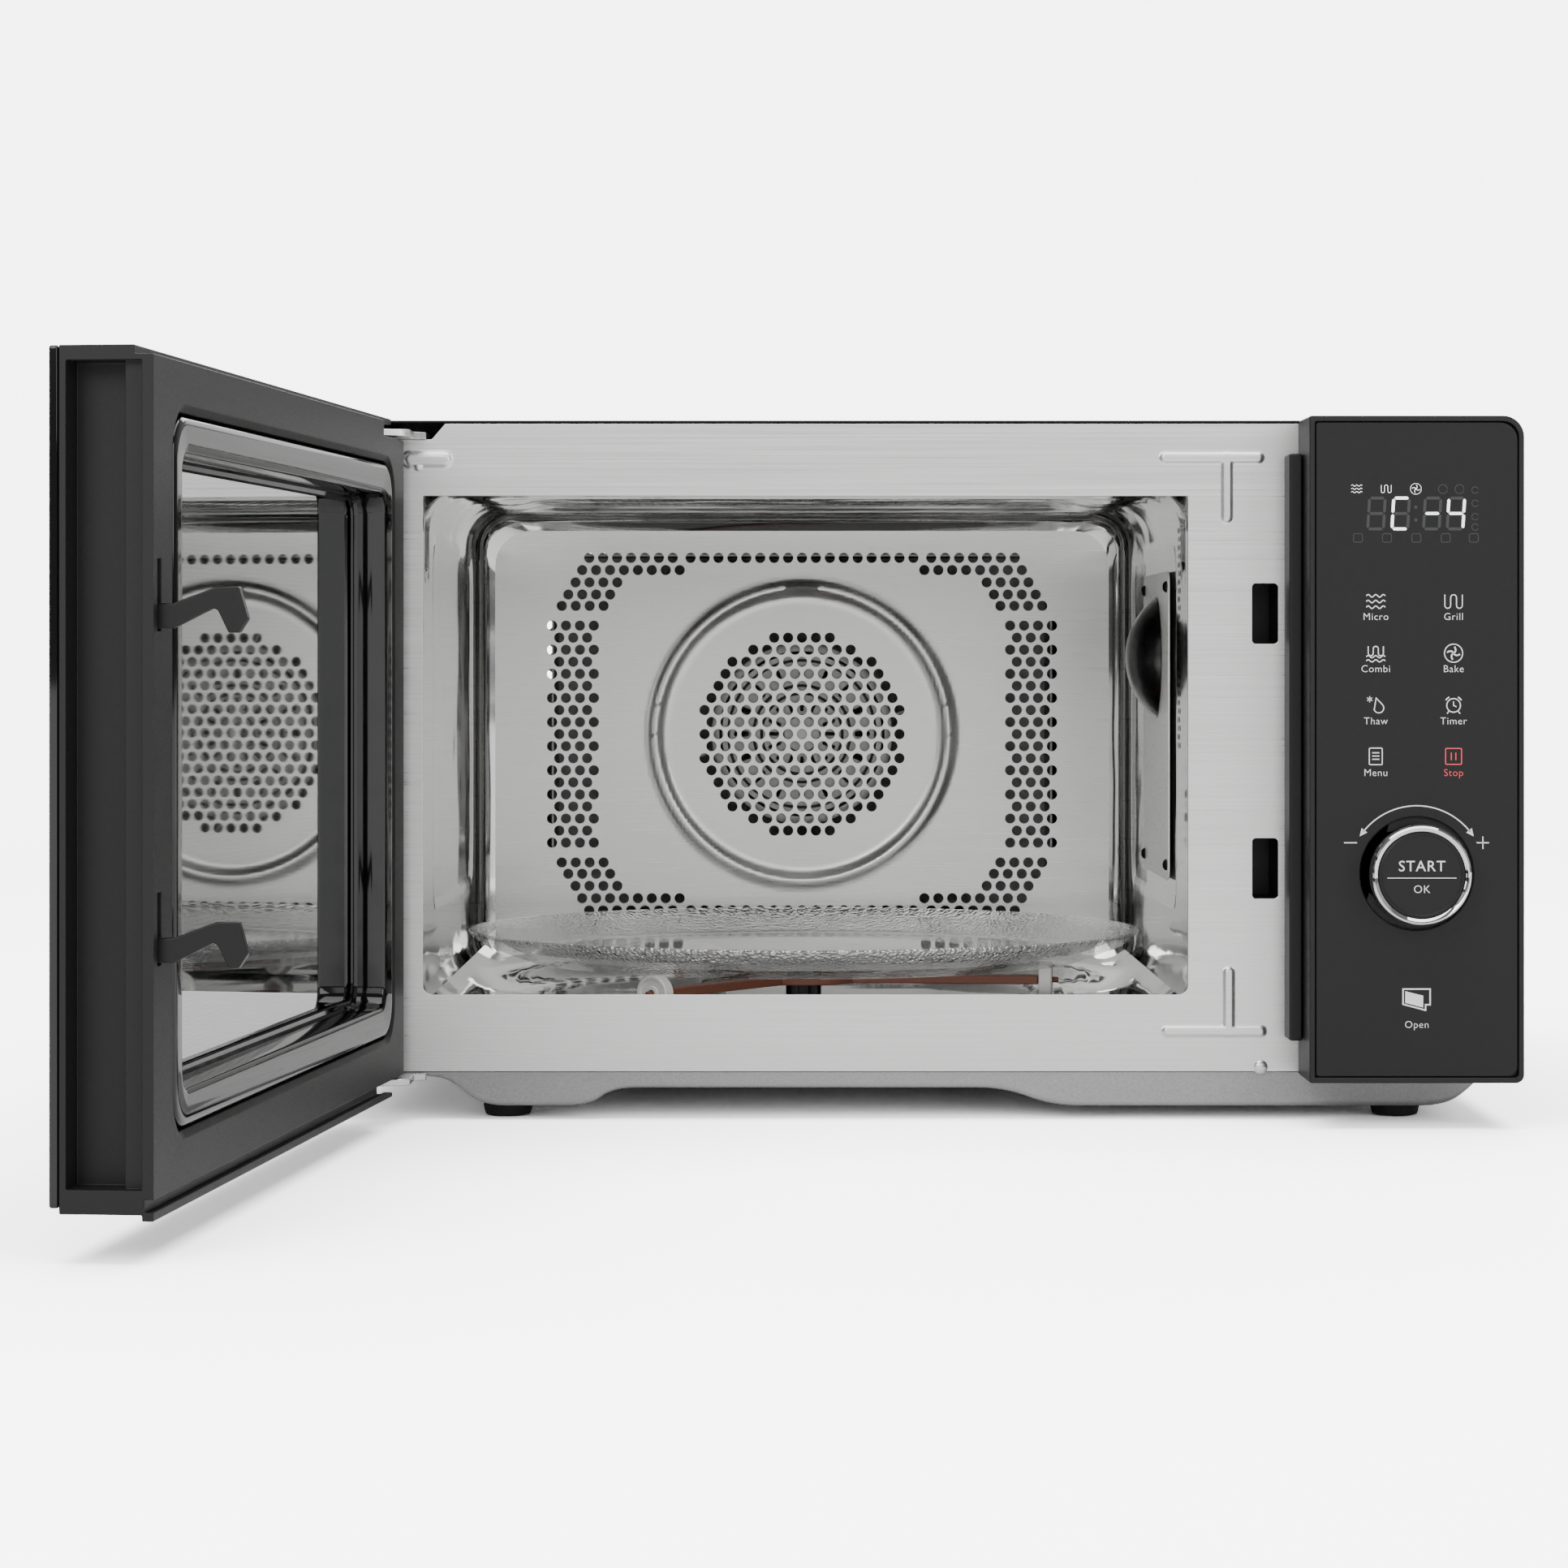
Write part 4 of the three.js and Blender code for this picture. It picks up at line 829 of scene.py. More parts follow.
# ------------------------------------------------------------------ front plate
def bead_patch(bm, lines, width, height, step=0.5):
    """A raised pressed bead along straight lines (x, z) on the front plate, as a thin closed shell."""
    skirt = 0.012  # how far the shell's rim stands off the plate
    margin = width / 2 + 1.0

    def gaps(x, z):
        for (ax, az), (bx, bz) in lines:
            span = (bx - ax) ** 2 + (bz - az) ** 2
            share = min(1.0, max(0.0, ((x - ax) * (bx - ax) + (z - az) * (bz - az)) / span))
            yield math.hypot(x - ax - share * (bx - ax), z - az - share * (bz - az))

    def lift(x, z):
        nearest = -math.log(max(sum(math.exp(-3.2 * gap) for gap in gaps(x, z)), 1e-12)) / 3.2
        fade = min(1.0, max(0.0, 1.6 - 1.6 * nearest / (width / 2)))
        return height * fade * fade * (3 - 2 * fade)

    x0 = min(p[0] for line in lines for p in line) - margin
    z0 = min(p[1] for line in lines for p in line) - margin
    across = math.ceil((max(p[0] for line in lines for p in line) + margin - x0) / step)
    up = math.ceil((max(p[1] for line in lines for p in line) + margin - z0) / step)
    kept = {(i, j) for i in range(across) for j in range(up)
            if min(gaps(x0 + (i + 0.5) * step, z0 + (j + 0.5) * step)) < width / 2 + 0.5}
    corners = {}

    def corner(i, j, front):
        if (i, j, front) not in corners:
            x, z = x0 + i * step, z0 + j * step
            corners[i, j, front] = bm.verts.new(at(x, -skirt - lift(x, z) if front else 0.5, z))
        return corners[i, j, front]

    for i, j in kept:
        square = ((i, j), (i + 1, j), (i + 1, j + 1), (i, j + 1))
        bm.faces.new([corner(*c, True) for c in square])
        bm.faces.new([corner(*c, False) for c in reversed(square)])
        for k, beside in enumerate(((i, j - 1), (i + 1, j), (i, j + 1), (i - 1, j))):
            if beside not in kept:
                a, b = square[k], square[(k + 1) % 4]
                bm.faces.new((corner(*b, True), corner(*a, True), corner(*a, False), corner(*b, False)))


def make_front_plate(sizes):
    """The brushed stainless front plate with its pressed beads, and a rivet at its lower edge."""
    plate = edged(copy_of("front_plate", "plate_sheet"), 0.25, 2)
    width, height = sizes.bead_width / MM, sizes.bead_height / MM
    bm = bmesh.new()
    bead_patch(bm, [((155.0, 285.1), (195.0, 285.1)), ((181.6, 285.1), (181.6, 259.4))], width, height)
    bead_patch(bm, [((156.0, 38.0), (196.0, 38.0)), ((182.4, 38.0), (182.4, 63.4))], width, height)
    bead_patch(bm, [((-170.0, 284.3), (-155.5, 284.3))], width + 2.4, height)
    beads = build("plate_beads", bm, 60.0)
    bm = bmesh.new()
    lathe(bm, [(0.0, 1.3), (1.6, 1.1), (2.7, 0.5), (3.2, -0.2), (0.0, -0.2)],
          lambda a, b, c: at(196.2 + a, -c, 20.9 + 1.6 + b), 24)
    lathe(bm, [(0.0, 0.9), (1.8, 0.8), (2.6, 0.1), (2.6, -0.2), (0.0, -0.2)],
          lambda a, b, c: at(-166.8 + a, -c - 0.2, 281.9 + b), 24)
    rivet = build("plate_rivet", bm, 50.0)
    piece = joined("front_frame", [plate, beads, rivet])
    settle(piece, "cabinet", "brushed_stainless", "brushed_stainless", "front_plate")


# ------------------------------------------------------------------ cavity
def ease(value, low, high):
    """A smooth step from 0 at low to 1 at high."""
    share = min(1.0, max(0.0, (value - low) / (high - low)))
    return share * share * (3 - 2 * share)


def inside_panel(a, b, a0, a1, b0, b1, radius, edge):
    """1 inside a rounded rectangle, 0 outside, with a soft edge."""
    dx = max(a0 + radius - a, a - (a1 - radius), 0.0)
    dz = max(b0 + radius - b, b - (b1 - radius), 0.0)
    gap = math.hypot(dx, dz) - radius
    inner = min(a - a0, a1 - a, b - b0, b1 - b)
    distance = gap if gap > 0 or dx or dz else -inner
    return 1.0 - ease(distance, -edge, 0.0)


def make_liner():
    """The deep-drawn cavity: round edges, pressed side panels, raised floor corners and a round track."""
    low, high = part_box("cavity_liner")
    half = (high[0] - low[0]) / 2 / MM - 1.0
    front, back = (low[1] - FACE_Y) / MM, (high[1] - FACE_Y) / MM
    floor, ceiling = low[2] / MM + 1.0, high[2] / MM - 1.0
    depth_steps = [front, front + 0.8] + [front + 2.5 + 2.5 * k for k in range(120)]
    rounding = [back - 11 * math.cos(math.radians(10 * k)) for k in range(0, 10)]
    depth_steps = [y for y in depth_steps if y < back - 12] + rounding + [back]

    def section(y):
        radius = 5.0 + 13.0 * ease(y, front, front + 14)
        pull = 0.0
        if y > back - 11:
            pull = 10.0 * (1.0 - math.sqrt(max(0.0, 1.0 - ((y - back + 11) / 11) ** 2)))
        points = []
        outline = rounded(-half + pull, half - pull, floor + pull, ceiling - pull, radius, 8)
        corners = [outline[i * 9:(i + 1) * 9] for i in range(4)]
        counts = (56, 46, 56, 46)
        for index in range(4):
            points += corners[index]
            start, stop = corners[index][-1], corners[(index + 1) % 4][0]
            for k in range(1, counts[index]):
                share = k / counts[index]
                points.append((start[0] + (stop[0] - start[0]) * share,
                               start[1] + (stop[1] - start[1]) * share))
        return points

    def pressed(x, y, z):
        if y > back - 14 or y < front + 3:
            return x, y, z
        if abs(x) > half - 1.2:
            push = -1.8 * inside_panel(y, z, 58, 288, 88, 248, 14, 5.0)
            push += 1.6 * inside_panel(y, z, 16, 36, 236, 262, 4, 2.0)
            x += math.copysign(push, x)
        elif z > ceiling - 1.2:
            z -= 2.0 * (1 - inside_panel(x, y, -134, 134, 84, 240, 16, 6.0)) * inside_panel(
                x, y, -152, 152, 12, 306, 16, 7.0)
        elif z < floor + 6:
            radius = math.hypot(x, y - TURNTABLE_Y)
            z += 9.5 * ease(radius, 139, 158) * (1 - ease(abs(x), half - 4, half))
        return x, y, z

    inner = [[at(*pressed(x, y, z)) for x, z in section(y)] for y in depth_steps]
    outer = [[at(x * (half + 1.0) / half, y, (z - (floor + ceiling) / 2) * (ceiling - floor + 2.0) /
                 (ceiling - floor) + (floor + ceiling) / 2) for x, z in section(min(y, back - 14))]
             for y in (back, front)]
    bm = bmesh.new()
    loft(bm, inner + outer, along=True)
    liner = build("cavity_drum", bm, 40.0)
    cutters = []
    for outline, base, top, place in (
        (rounded(-100, 100, 112, 212, 8), ceiling - 8, ceiling + 6, lambda a, b, c: at(a, b, c)),
        (circle(9.5, 20), floor - 6, floor + 8, lambda a, b, c: at(a, TURNTABLE_Y + b, c)),
    ):
        bm = bmesh.new()
        prism(bm, outline, base, top, place)
        cutters.append(build("cutter", bm))
    cut(liner, *cutters)
    lamp_low, lamp_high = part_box("cavity_lamp")
    lamp_y = ((lamp_low[1] + lamp_high[1]) / 2 - FACE_Y) / MM
    lamp_z = (lamp_low[2] + lamp_high[2]) / 2 / MM
    wall = (high[0] - CENTRE[0]) / MM
    centres = [at(wall, lamp_y + (i + 0.5 * (j % 2)) * 4.4 - 15.4, lamp_z - 50 + j * 3.8)
               for i in range(3) for j in range(26)]
    pierce(liner, centres, circle(1.5, 8), 12.0, out_right, "polished_stainless")
    resmooth(liner, 40.0)
    settle(liner, "cabinet", "polished_stainless", "polished_stainless", "cavity_liner")


def intake_places(sizes):
    """Centres (x, z) of the rear wall's air holes: a round intake, and outlets in a frame round the ring."""
    pitch = sizes.hole_pitch / MM
    rise = pitch * math.sqrt(3) / 2
    rows = (5, 8, 11, 12, 13, 14, 15, 14, 15, 14, 15, 14, 13, 12, 11, 8, 5)
    places = [((i - (count - 1) / 2) * pitch, (8 - row) * rise) for row, count in enumerate(rows)
              for i in range(count)]
    corner = ((90.1, 108.8, 7), (83.9, 112.4, 8), (77.6, 115.8, 4), (71.4, 119.5, 4), (65.6, 122.8, 4))
    for side in (-1, 1):
        for end in (-1, 1):
            for z, x, count in corner:
                places += [(side * (x - i * pitch), end * z) for i in range(count)]
        for row in range(19):
            count, first = ((4, 127.8), (3, 124.1))[row % 2]
            places += [(side * (first - i * pitch), (row - 9) * rise) for i in range(count)]
    places += [((i - 8) * pitch, 90.1) for i in range(17)]
    places += [((i - 8) * pitch, -90.1) for i in range(17)]
    return places


def make_back_wall(sizes):
    """The rear wall: a pressed ring round the fan's air intake, and rows of outlets."""
    low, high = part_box("cavity_back_wall")
    half = (high[0] - low[0]) / 2 / MM
    back = (high[1] - FACE_Y) / MM
    face = back - 1.0 - 0.9
    z0, z1 = low[2] / MM, high[2] / MM
    fan = JOINTS["convection_fan_spin"]["pos_m"]
    fan_z = fan[2] / MM
    ring, ring_width = sizes.ring_radius / MM, 8.6
    across, up = 172, 122

    def relief(x, z):
        radius = math.hypot(x, z - fan_z)
        share = (radius - ring + ring_width / 2) / (ring_width / 2)
        bead = 2.6 * (1 - share * share) ** 2 if abs(share) < 1 else 0.0
        dish = -0.8 * (1 - ease(radius, ring - ring_width - 3, ring - ring_width + 2))
        return bead + dish

    bm = bmesh.new()
    rows = []
    for j in range(up + 1):
        z = z0 + (z1 - z0) * j / up
        rows.append([bm.verts.new(at(x, face - relief(x, z), z))
                     for x in (-half + 2 * half * i / across for i in range(across + 1))])
    for j in range(up):
        for i in range(across):
            bm.faces.new((rows[j][i], rows[j][i + 1], rows[j + 1][i + 1], rows[j + 1][i]))
    right_side = [row[-1] for row in rows[1:]]
    left_side = [row[0] for row in rows[-2:0:-1]]
    border = rows[0] + right_side + rows[-1][-2::-1] + left_side
    behind = [bm.verts.new((v.co.x, FACE_Y + back * MM, v.co.z)) for v in border]
    for k in range(len(border)):
        n = (k + 1) % len(border)
        bm.faces.new((border[n], border[k], behind[k], behind[n]))
    bm.faces.new(list(reversed(behind)))
    wall = build("cavity_rear_sheet", bm, 50.0)
    centres = [at(x, back, fan_z + z) for x, z in intake_places(sizes)]
    pierce(wall, centres, circle(sizes.hole_diameter / 2 / MM, 14), 20.0, out_back, "satin_stainless")
    resmooth(wall, 50.0)
    settle(wall, "cabinet", "polished_stainless", "satin_stainless", "cavity_back_wall")


def make_cavity_fittings():
    """The mica board over the waveguide, the dark dome on it and the pierced cover under the grill."""
    (x0, x1), (y0, y1), (z0, z1) = room_of("waveguide_cover")
    bm = bmesh.new()
    outline = rounded(y0, y1, z0, z1, 6.0)
    prism(bm, outline, x0, x1, lambda a, b, c: at(c, a, b))
    board = build("mica_board", bm)
    settle(board, "cabinet", "mica_sheet", "mica_sheet", "waveguide_cover")
    screws("mica_rivets", [at(x0, y, z) for y in (y0 + 7, y1 - 7) for z in (z0 + 7, z1 - 7)],
           lambda a, b, c: at(-c, a, b), "cabinet", "black_plastic", 2.6, "black_plastic")
    low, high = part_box("stirrer_dome")
    middle_y = ((low[1] + high[1]) / 2 - FACE_Y) / MM
    middle_z = (low[2] + high[2]) / 2 / MM
    wall = (high[0] - CENTRE[0]) / MM
    radius, rise = (high[2] - low[2]) / 2 / MM, (high[0] - low[0]) / MM
    sphere = (radius * radius + rise * rise) / (2 * rise)
    sweep = math.asin(radius / sphere)
    profile = [(sphere * math.sin(sweep * k / 14), sphere * math.cos(sweep * k / 14) - sphere + rise)
               for k in range(15)]
    bm = bmesh.new()
    lathe(bm, profile + [(radius, 0.0), (0.0, 0.0)], lambda a, b,
          c: at(wall - c, middle_y + a, middle_z + b), 72)
    dome = build("stirrer_cap", bm, 50.0)
    settle(dome, "cabinet", "dark_polished_steel", "dark_polished_steel", "stirrer_dome")
    (x0, x1), (y0, y1), (z0, z1) = room_of("ceiling_grille")
    bm = bmesh.new()
    prism(bm, rounded(x0, x1, y0, y1, 5.0), z0, z1, out_up)
    cover = build("grill_cover", bm)
    pitch, margin = 6.6, 12
    row_pitch = pitch * 0.866
    centres = [at(x0 + margin + (i + 0.5 * (j % 2)) * pitch, y0 + margin + j * row_pitch, z1)
               for i in range(int((x1 - x0 - 2 * margin) / pitch))
               for j in range(int((y1 - y0 - 20) / row_pitch))]
    pierce(cover, centres, circle(2.3, 8), 10.0, out_up, "polished_stainless")
    resmooth(cover)
    settle(cover, "cabinet", "polished_stainless", "polished_stainless", "ceiling_grille")


# ------------------------------------------------------------------ turntable
def make_turntable():
    """The pressed glass tray, its brown spider and white wheels, and the drive coupler."""
    def place(a, b, c):
        return Vector((CENTRE[0] + a * MM, CENTRE[1] + b * MM, c * MM))
    low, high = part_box("glass_tray")
    under = high[2] / MM - 15.0
    boss = low[2] / MM
    outer = (high[0] - low[0]) / 2 / MM
    flat, glass = 128.0, 3.6
    profile = [(0.0, under), (10.4, under), (10.6, boss), (13.4, boss), (13.8, under), (flat - 3, under),
               (flat + 2, under + 0.6), (flat + 10, under + 3.4), (outer - 7, under + 8.2),
               (outer - 2.4, under + 11.4),
               (outer - 0.4, under + 13.2), (outer, under + 14.2), (outer - 0.5, under + 14.9),
               (outer - 1.8, under + 15.0), (outer - 3.6, under + 14.0), (outer - 9, under + 11.0),
               (flat + 8, under + 6.6), (flat + 1, under + 4.2), (flat - 3, under + glass),
               (0.0, under + glass)]
    bm = bmesh.new()
    lathe(bm, profile, place, 144)
    tray = build("pressed_glass_tray", bm, 50.0)
    settle(tray, "tray", "clear_glass", "clear_glass", "glass_tray")

    spider = edged(copy_of("roller_spider", "turntable_spider"), 0.5, 2)
    settle(spider, "spider", "brown_plastic", "brown_plastic", "roller_spider")
    for index in (1, 2, 3):
        joint = JOINTS[f"wheel_{index}_spin"]
        axis = Vector(joint["axis"]).normalized()
        hub = Vector(joint["pos_m"])
        side = axis.cross(Vector((0, 0, 1))).normalized()
        bm = bmesh.new()
        profile = [(1.9, -3.0), (3.2, -3.0), (3.6, -2.2), (6.2, -2.2), (6.8, -3.0), (8.0, -3.0),
                   (8.5, -2.4),
                   (8.5, 2.4), (8.0, 3.0), (6.8, 3.0), (6.2, 2.2), (3.6, 2.2), (3.2, 3.0), (1.9, 3.0)]
        lathe(bm, profile, lambda a, b, c: hub + (side * a + Vector((0, 0, 1)) * b + axis * c) * MM, 40)
        wheel = build(f"wheel_{index}_roller", bm, 30.0)
        settle(wheel, f"wheel_{index}", "white_nylon", "white_nylon", f"roller_wheel_{index}")
    coupler = edged(copy_of("turntable_coupler", "turntable_drive_cross"), 0.4, 2)
    settle(coupler, "turntable_drive", "black_plastic", "black_plastic", "turntable_coupler")


# ------------------------------------------------------------------ fan
def make_fan():
    """The convection blower: a ribbed front disc with vent slots, blades behind it and a middle nut."""
    low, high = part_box("convection_fan")
    hub = JOINTS["convection_fan_spin"]["pos_m"]
    radius = (high[2] - low[2]) / 2 / MM

    def place(a, b, c):
        return Vector((hub[0] + a * MM, low[1] + c * MM, hub[2] + b * MM))
    nose, face = 7.0, radius - 13.0
    profile = [(0.0, 0.6), (3.4, 0.6), (4.6, 1.4), (4.6, nose - 1.2), (9.0, nose - 1.2),
               (10.0, nose - 0.2),
               (20.0, nose - 0.2), (21.5, nose - 1.6), (24.0, nose - 1.6), (25.5, nose - 0.2),
               (37.0, nose - 0.2),
               (38.5, nose - 1.6), (41.0, nose - 1.6), (42.5, nose - 0.2), (face - 1.0, nose - 0.2),
               (face, nose + 0.4), (face - 1.0, nose + 1.1),
               (0.0, nose + 1.1)]
    bm = bmesh.new()
    lathe(bm, profile, place, 72)
    disc = build("blower_disc", bm, 30.0)
    cutters = bmesh.new()
    for step in range(16):
        angle = 2 * math.pi * step / 16
        for reach in (15.0, 31.0):
            outline = [(math.cos(angle) * (reach + a) - math.sin(angle) * b,
                        math.sin(angle) * (reach + a) + math.cos(angle) * b)
                       for a, b in slot_outline(7.0 if reach < 20 else 8.0, 2.0 if reach < 20 else 3.0)]
            prism(cutters, outline, nose - 6, nose + 6, place)
    cut(disc, build("slots", cutters))
    bm = bmesh.new()
    for step in range(8):
        angle = 2 * math.pi * step / 8
        rings = []
        for k in range(7):
            reach = 20.0 + (radius - 21.0) * k / 6
            lean = angle + 0.22 * math.sin(math.pi * k / 12)
            rings.append([place(reach * math.cos(lean) + w * math.sin(lean),
                                reach * math.sin(lean) - w * math.cos(lean),
                                nose + 1.0 + d) for w,
                                d in ((-0.5, 0), (0.5, 0), (0.5, 15.4), (-0.5, 15.4))])
        loft(bm, rings)
    lathe(bm, [(0.0, nose), (3.0, nose), (3.0, (high[1] - low[1]) / MM), (0.0, (high[1] - low[1]) / MM)],
          place, 24)
    blades = build("blades", bm, 30.0)
    fan = joined("convection_blower_wheel", [disc, blades])
    resmooth(fan)
    settle(fan, "convection_blower", "fin_aluminium", "fin_aluminium", "convection_fan")


# ------------------------------------------------------------------ control panel
def ribbon(bm, points, width, closed=False, lift=0.06):
    """A printed line of even width along points (x, z) on the control panel, as a thin closed strip."""
    count = len(points)
    left, right = [], []
    for i, (x, z) in enumerate(points):
        px, pz = points[i - 1] if (i or closed) else (x, z)
        nx, nz = points[(i + 1) % count] if (i < count - 1 or closed) else (x, z)
        first = Vector((x - px, z - pz))
        second = Vector((nx - x, nz - z))
        first = first.normalized() if first.length > 1e-9 else second.normalized()
        second = second.normalized() if second.length > 1e-9 else first
        ahead = (first + second)
        ahead = ahead.normalized() if ahead.length > 1e-6 else first
        side = Vector((-ahead.y, ahead.x))
        stretch = 1.0 / max(0.5, side.dot(Vector((-first.y, first.x))))
        left.append((x + side.x * width / 2 * stretch, z + side.y * width / 2 * stretch))
        right.append((x - side.x * width / 2 * stretch, z - side.y * width / 2 * stretch))
    face = panel_front()
    rings = [[at(a[0], face - lift, a[1]), at(b[0], face - lift, b[1]), at(b[0], face - 0.01, b[1]),
              at(a[0], face - 0.01, a[1])] for a, b in zip(left, right)]
    loft(bm, rings, caps=not closed, along=closed)


def patch(bm, outline, lift=0.06):
    """A printed filled shape (x, z) on the control panel."""
    face = panel_front()
    prism(bm, outline, face - lift, face - 0.01, lambda a, b, c: at(a, c, b))


def panel_front():
    return (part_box("panel_face")[0][1] - FACE_Y) / MM


def arc(cx, cz, radius, start, stop, steps=20):
    angles = [math.radians(start + (stop - start) * k / steps) for k in range(steps + 1)]
    return [(cx + radius * math.cos(angle), cz + radius * math.sin(angle)) for angle in angles]


def wave(cx, cz, width, rise, swings=2.5, steps=18):
    return [(cx - width / 2 + width * k / steps, cz + rise * math.sin(2 * math.pi * swings * k / steps))
            for k in range(steps + 1)]


def coil_line(cx, cz, width, height):
    points = []
    loop = width / 3
    for k in range(3):
        x = cx - width / 2 + loop * (k + 0.5)
        end = -1 if k % 2 == 0 else 1
        points += [(x + loop / 2 * math.cos(math.radians(t)), cz + end * (height / 2 - loop / 2) +
                    end * loop / 2 * math.sin(math.radians(t))) for t in (180, 150, 120, 90, 60, 30, 0)]
    points.insert(0, (points[0][0], cz + height / 2))
    points.append((points[-1][0], cz + height / 2))
    return points


def icon_waves(bm, x, z, size, line):
    for row in (-1, 0, 1):
        ribbon(bm, wave(x, z + row * size * 0.3, size, size * 0.07), line)


def icon_coil(bm, x, z, size, line):
    ribbon(bm, coil_line(x, z, size * 0.92, size * 0.72), line)


def icon_fan(bm, x, z, size, line):
    ribbon(bm, arc(x, z, size * 0.48, 0, 360 - 360 / 28, 27), line, closed=True)
    for blade in range(4):
        start = 90 * blade + 20
        swirl = [(x + size * 0.34 * k / 6 * math.cos(math.radians(start + 62 * k / 6)),
                  z + size * 0.34 * k / 6 * math.sin(math.radians(start + 62 * k / 6))) for k in range(7)]
        ribbon(bm, swirl, line * 1.5)


def icon_combi(bm, x, z, size, line):
    ribbon(bm, coil_line(x, z + size * 0.14, size * 0.8, size * 0.5), line)
    for row in (-0.34, -0.12):
        ribbon(bm, wave(x, z + row * size - 0.3, size, size * 0.06), line)


def icon_thaw(bm, x, z, size, line):
    for turn in (0, 60, 120):
        angle = math.radians(turn + 30)
        dx, dz = size * 0.16 * math.cos(angle), size * 0.16 * math.sin(angle)
        ribbon(bm, [(x - size * 0.32 - dx, z + size * 0.3 - dz),
                    (x - size * 0.32 + dx, z + size * 0.3 + dz)],
               line * 0.8)
    belly = arc(x + size * 0.16, z - size * 0.16, size * 0.26, 200, 400, 16)
    drop_shape = [(x + size * 0.02, z + size * 0.36)] + belly
    ribbon(bm, drop_shape, line, closed=True)


def icon_clock(bm, x, z, size, line):
    ribbon(bm, arc(x, z, size * 0.38, 0, 360 - 360 / 24, 23), line, closed=True)
    ribbon(bm, [(x, z + size * 0.22), (x, z), (x + size * 0.16, z - size * 0.08)], line)
    for side in (-1, 1):
        ribbon(bm, arc(x, z, size * 0.52, 90 + side * 28, 90 + side * 56, 6), line * 1.3)
        ribbon(bm, [(x + side * size * 0.26, z - size * 0.32), (x + side * size * 0.36, z - size * 0.46)],
               line)


def icon_list(bm, x, z, size, line):
    ribbon(bm, rounded(x - size * 0.36, x + size * 0.36, z - size * 0.46, z + size * 0.46,
                       size * 0.06, 3), line,
           closed=True)
    for row in (0.2, 0.02, -0.16):
        ribbon(bm, [(x - size * 0.2, z + row * size), (x + size * 0.2, z + row * size)], line)


def icon_pause(bm, x, z, size, line):
    ribbon(bm, rounded(x - size * 0.42, x + size * 0.42, z - size * 0.42, z + size * 0.42,
                       size * 0.06, 3), line,
           closed=True)
    for side in (-1, 1):
        ribbon(bm, [(x + side * size * 0.12, z - size * 0.2), (x + side * size * 0.12, z + size * 0.2)],
               line)


def lettering(words, x, z, height, depth=0.06, y=None, thin=0.05):
    """A short generic word as a thin mesh, centred at (x, z)."""
    curve = bpy.data.curves.new("word", "FONT")
    curve.body = words
    curve.size = height * MM / 0.72
    curve.align_x = "CENTER"
    curve.align_y = "CENTER"
    curve.extrude = depth / 2 * MM
    curve.resolution_u = 3
    curve.space_character = 1.08
    curve.offset = -thin * MM
    holder = bpy.data.objects.new("word", curve)
    bpy.context.scene.collection.objects.link(holder)
    bpy.context.view_layer.update()
    mesh = bpy.data.meshes.new_from_object(holder.evaluated_get(bpy.context.evaluated_depsgraph_get()))
    front = panel_front() if y is None else y
    upright = Matrix.Rotation(math.pi / 2, 4, "X")
    mesh.transform(Matrix.Translation(at(x, front - depth / 2 - 0.01, z)) @ upright)
    drop(holder)
    return link("word", mesh)


SEGMENTS = {"a": ((0, 1), (1, 1)), "b": ((1, 1), (1, 0.5)), "c": ((1, 0.5), (1, 0)),
            "d": ((0, 0), (1, 0)),
            "e": ((0, 0.5), (0, 0)), "f": ((0, 1), (0, 0.5)), "g": ((0, 0.5), (1, 0.5))}


def digit(bm, lit, x, z, width, height, line):
    """The named segments of one seven-segment digit with its lower left corner at (x, z)."""
    lean = 0.06
    for name in lit:
        (ax, az), (bx, bz) = SEGMENTS[name]
        start = Vector((x + ax * width + az * height * lean, z + az * height))
        stop = Vector((x + bx * width + bz * height * lean, z + bz * height))
        ahead = (stop - start).normalized()
        side = Vector((-ahead.y, ahead.x)) * line / 2
        start, stop = start + ahead * line * 0.2, stop - ahead * line * 0.2
        patch(bm, [tuple(start), tuple(start + ahead * line / 2 - side),
                   tuple(stop - ahead * line / 2 - side),
                   tuple(stop), tuple(stop - ahead * line / 2 + side),
                   tuple(start + ahead * line / 2 + side)])


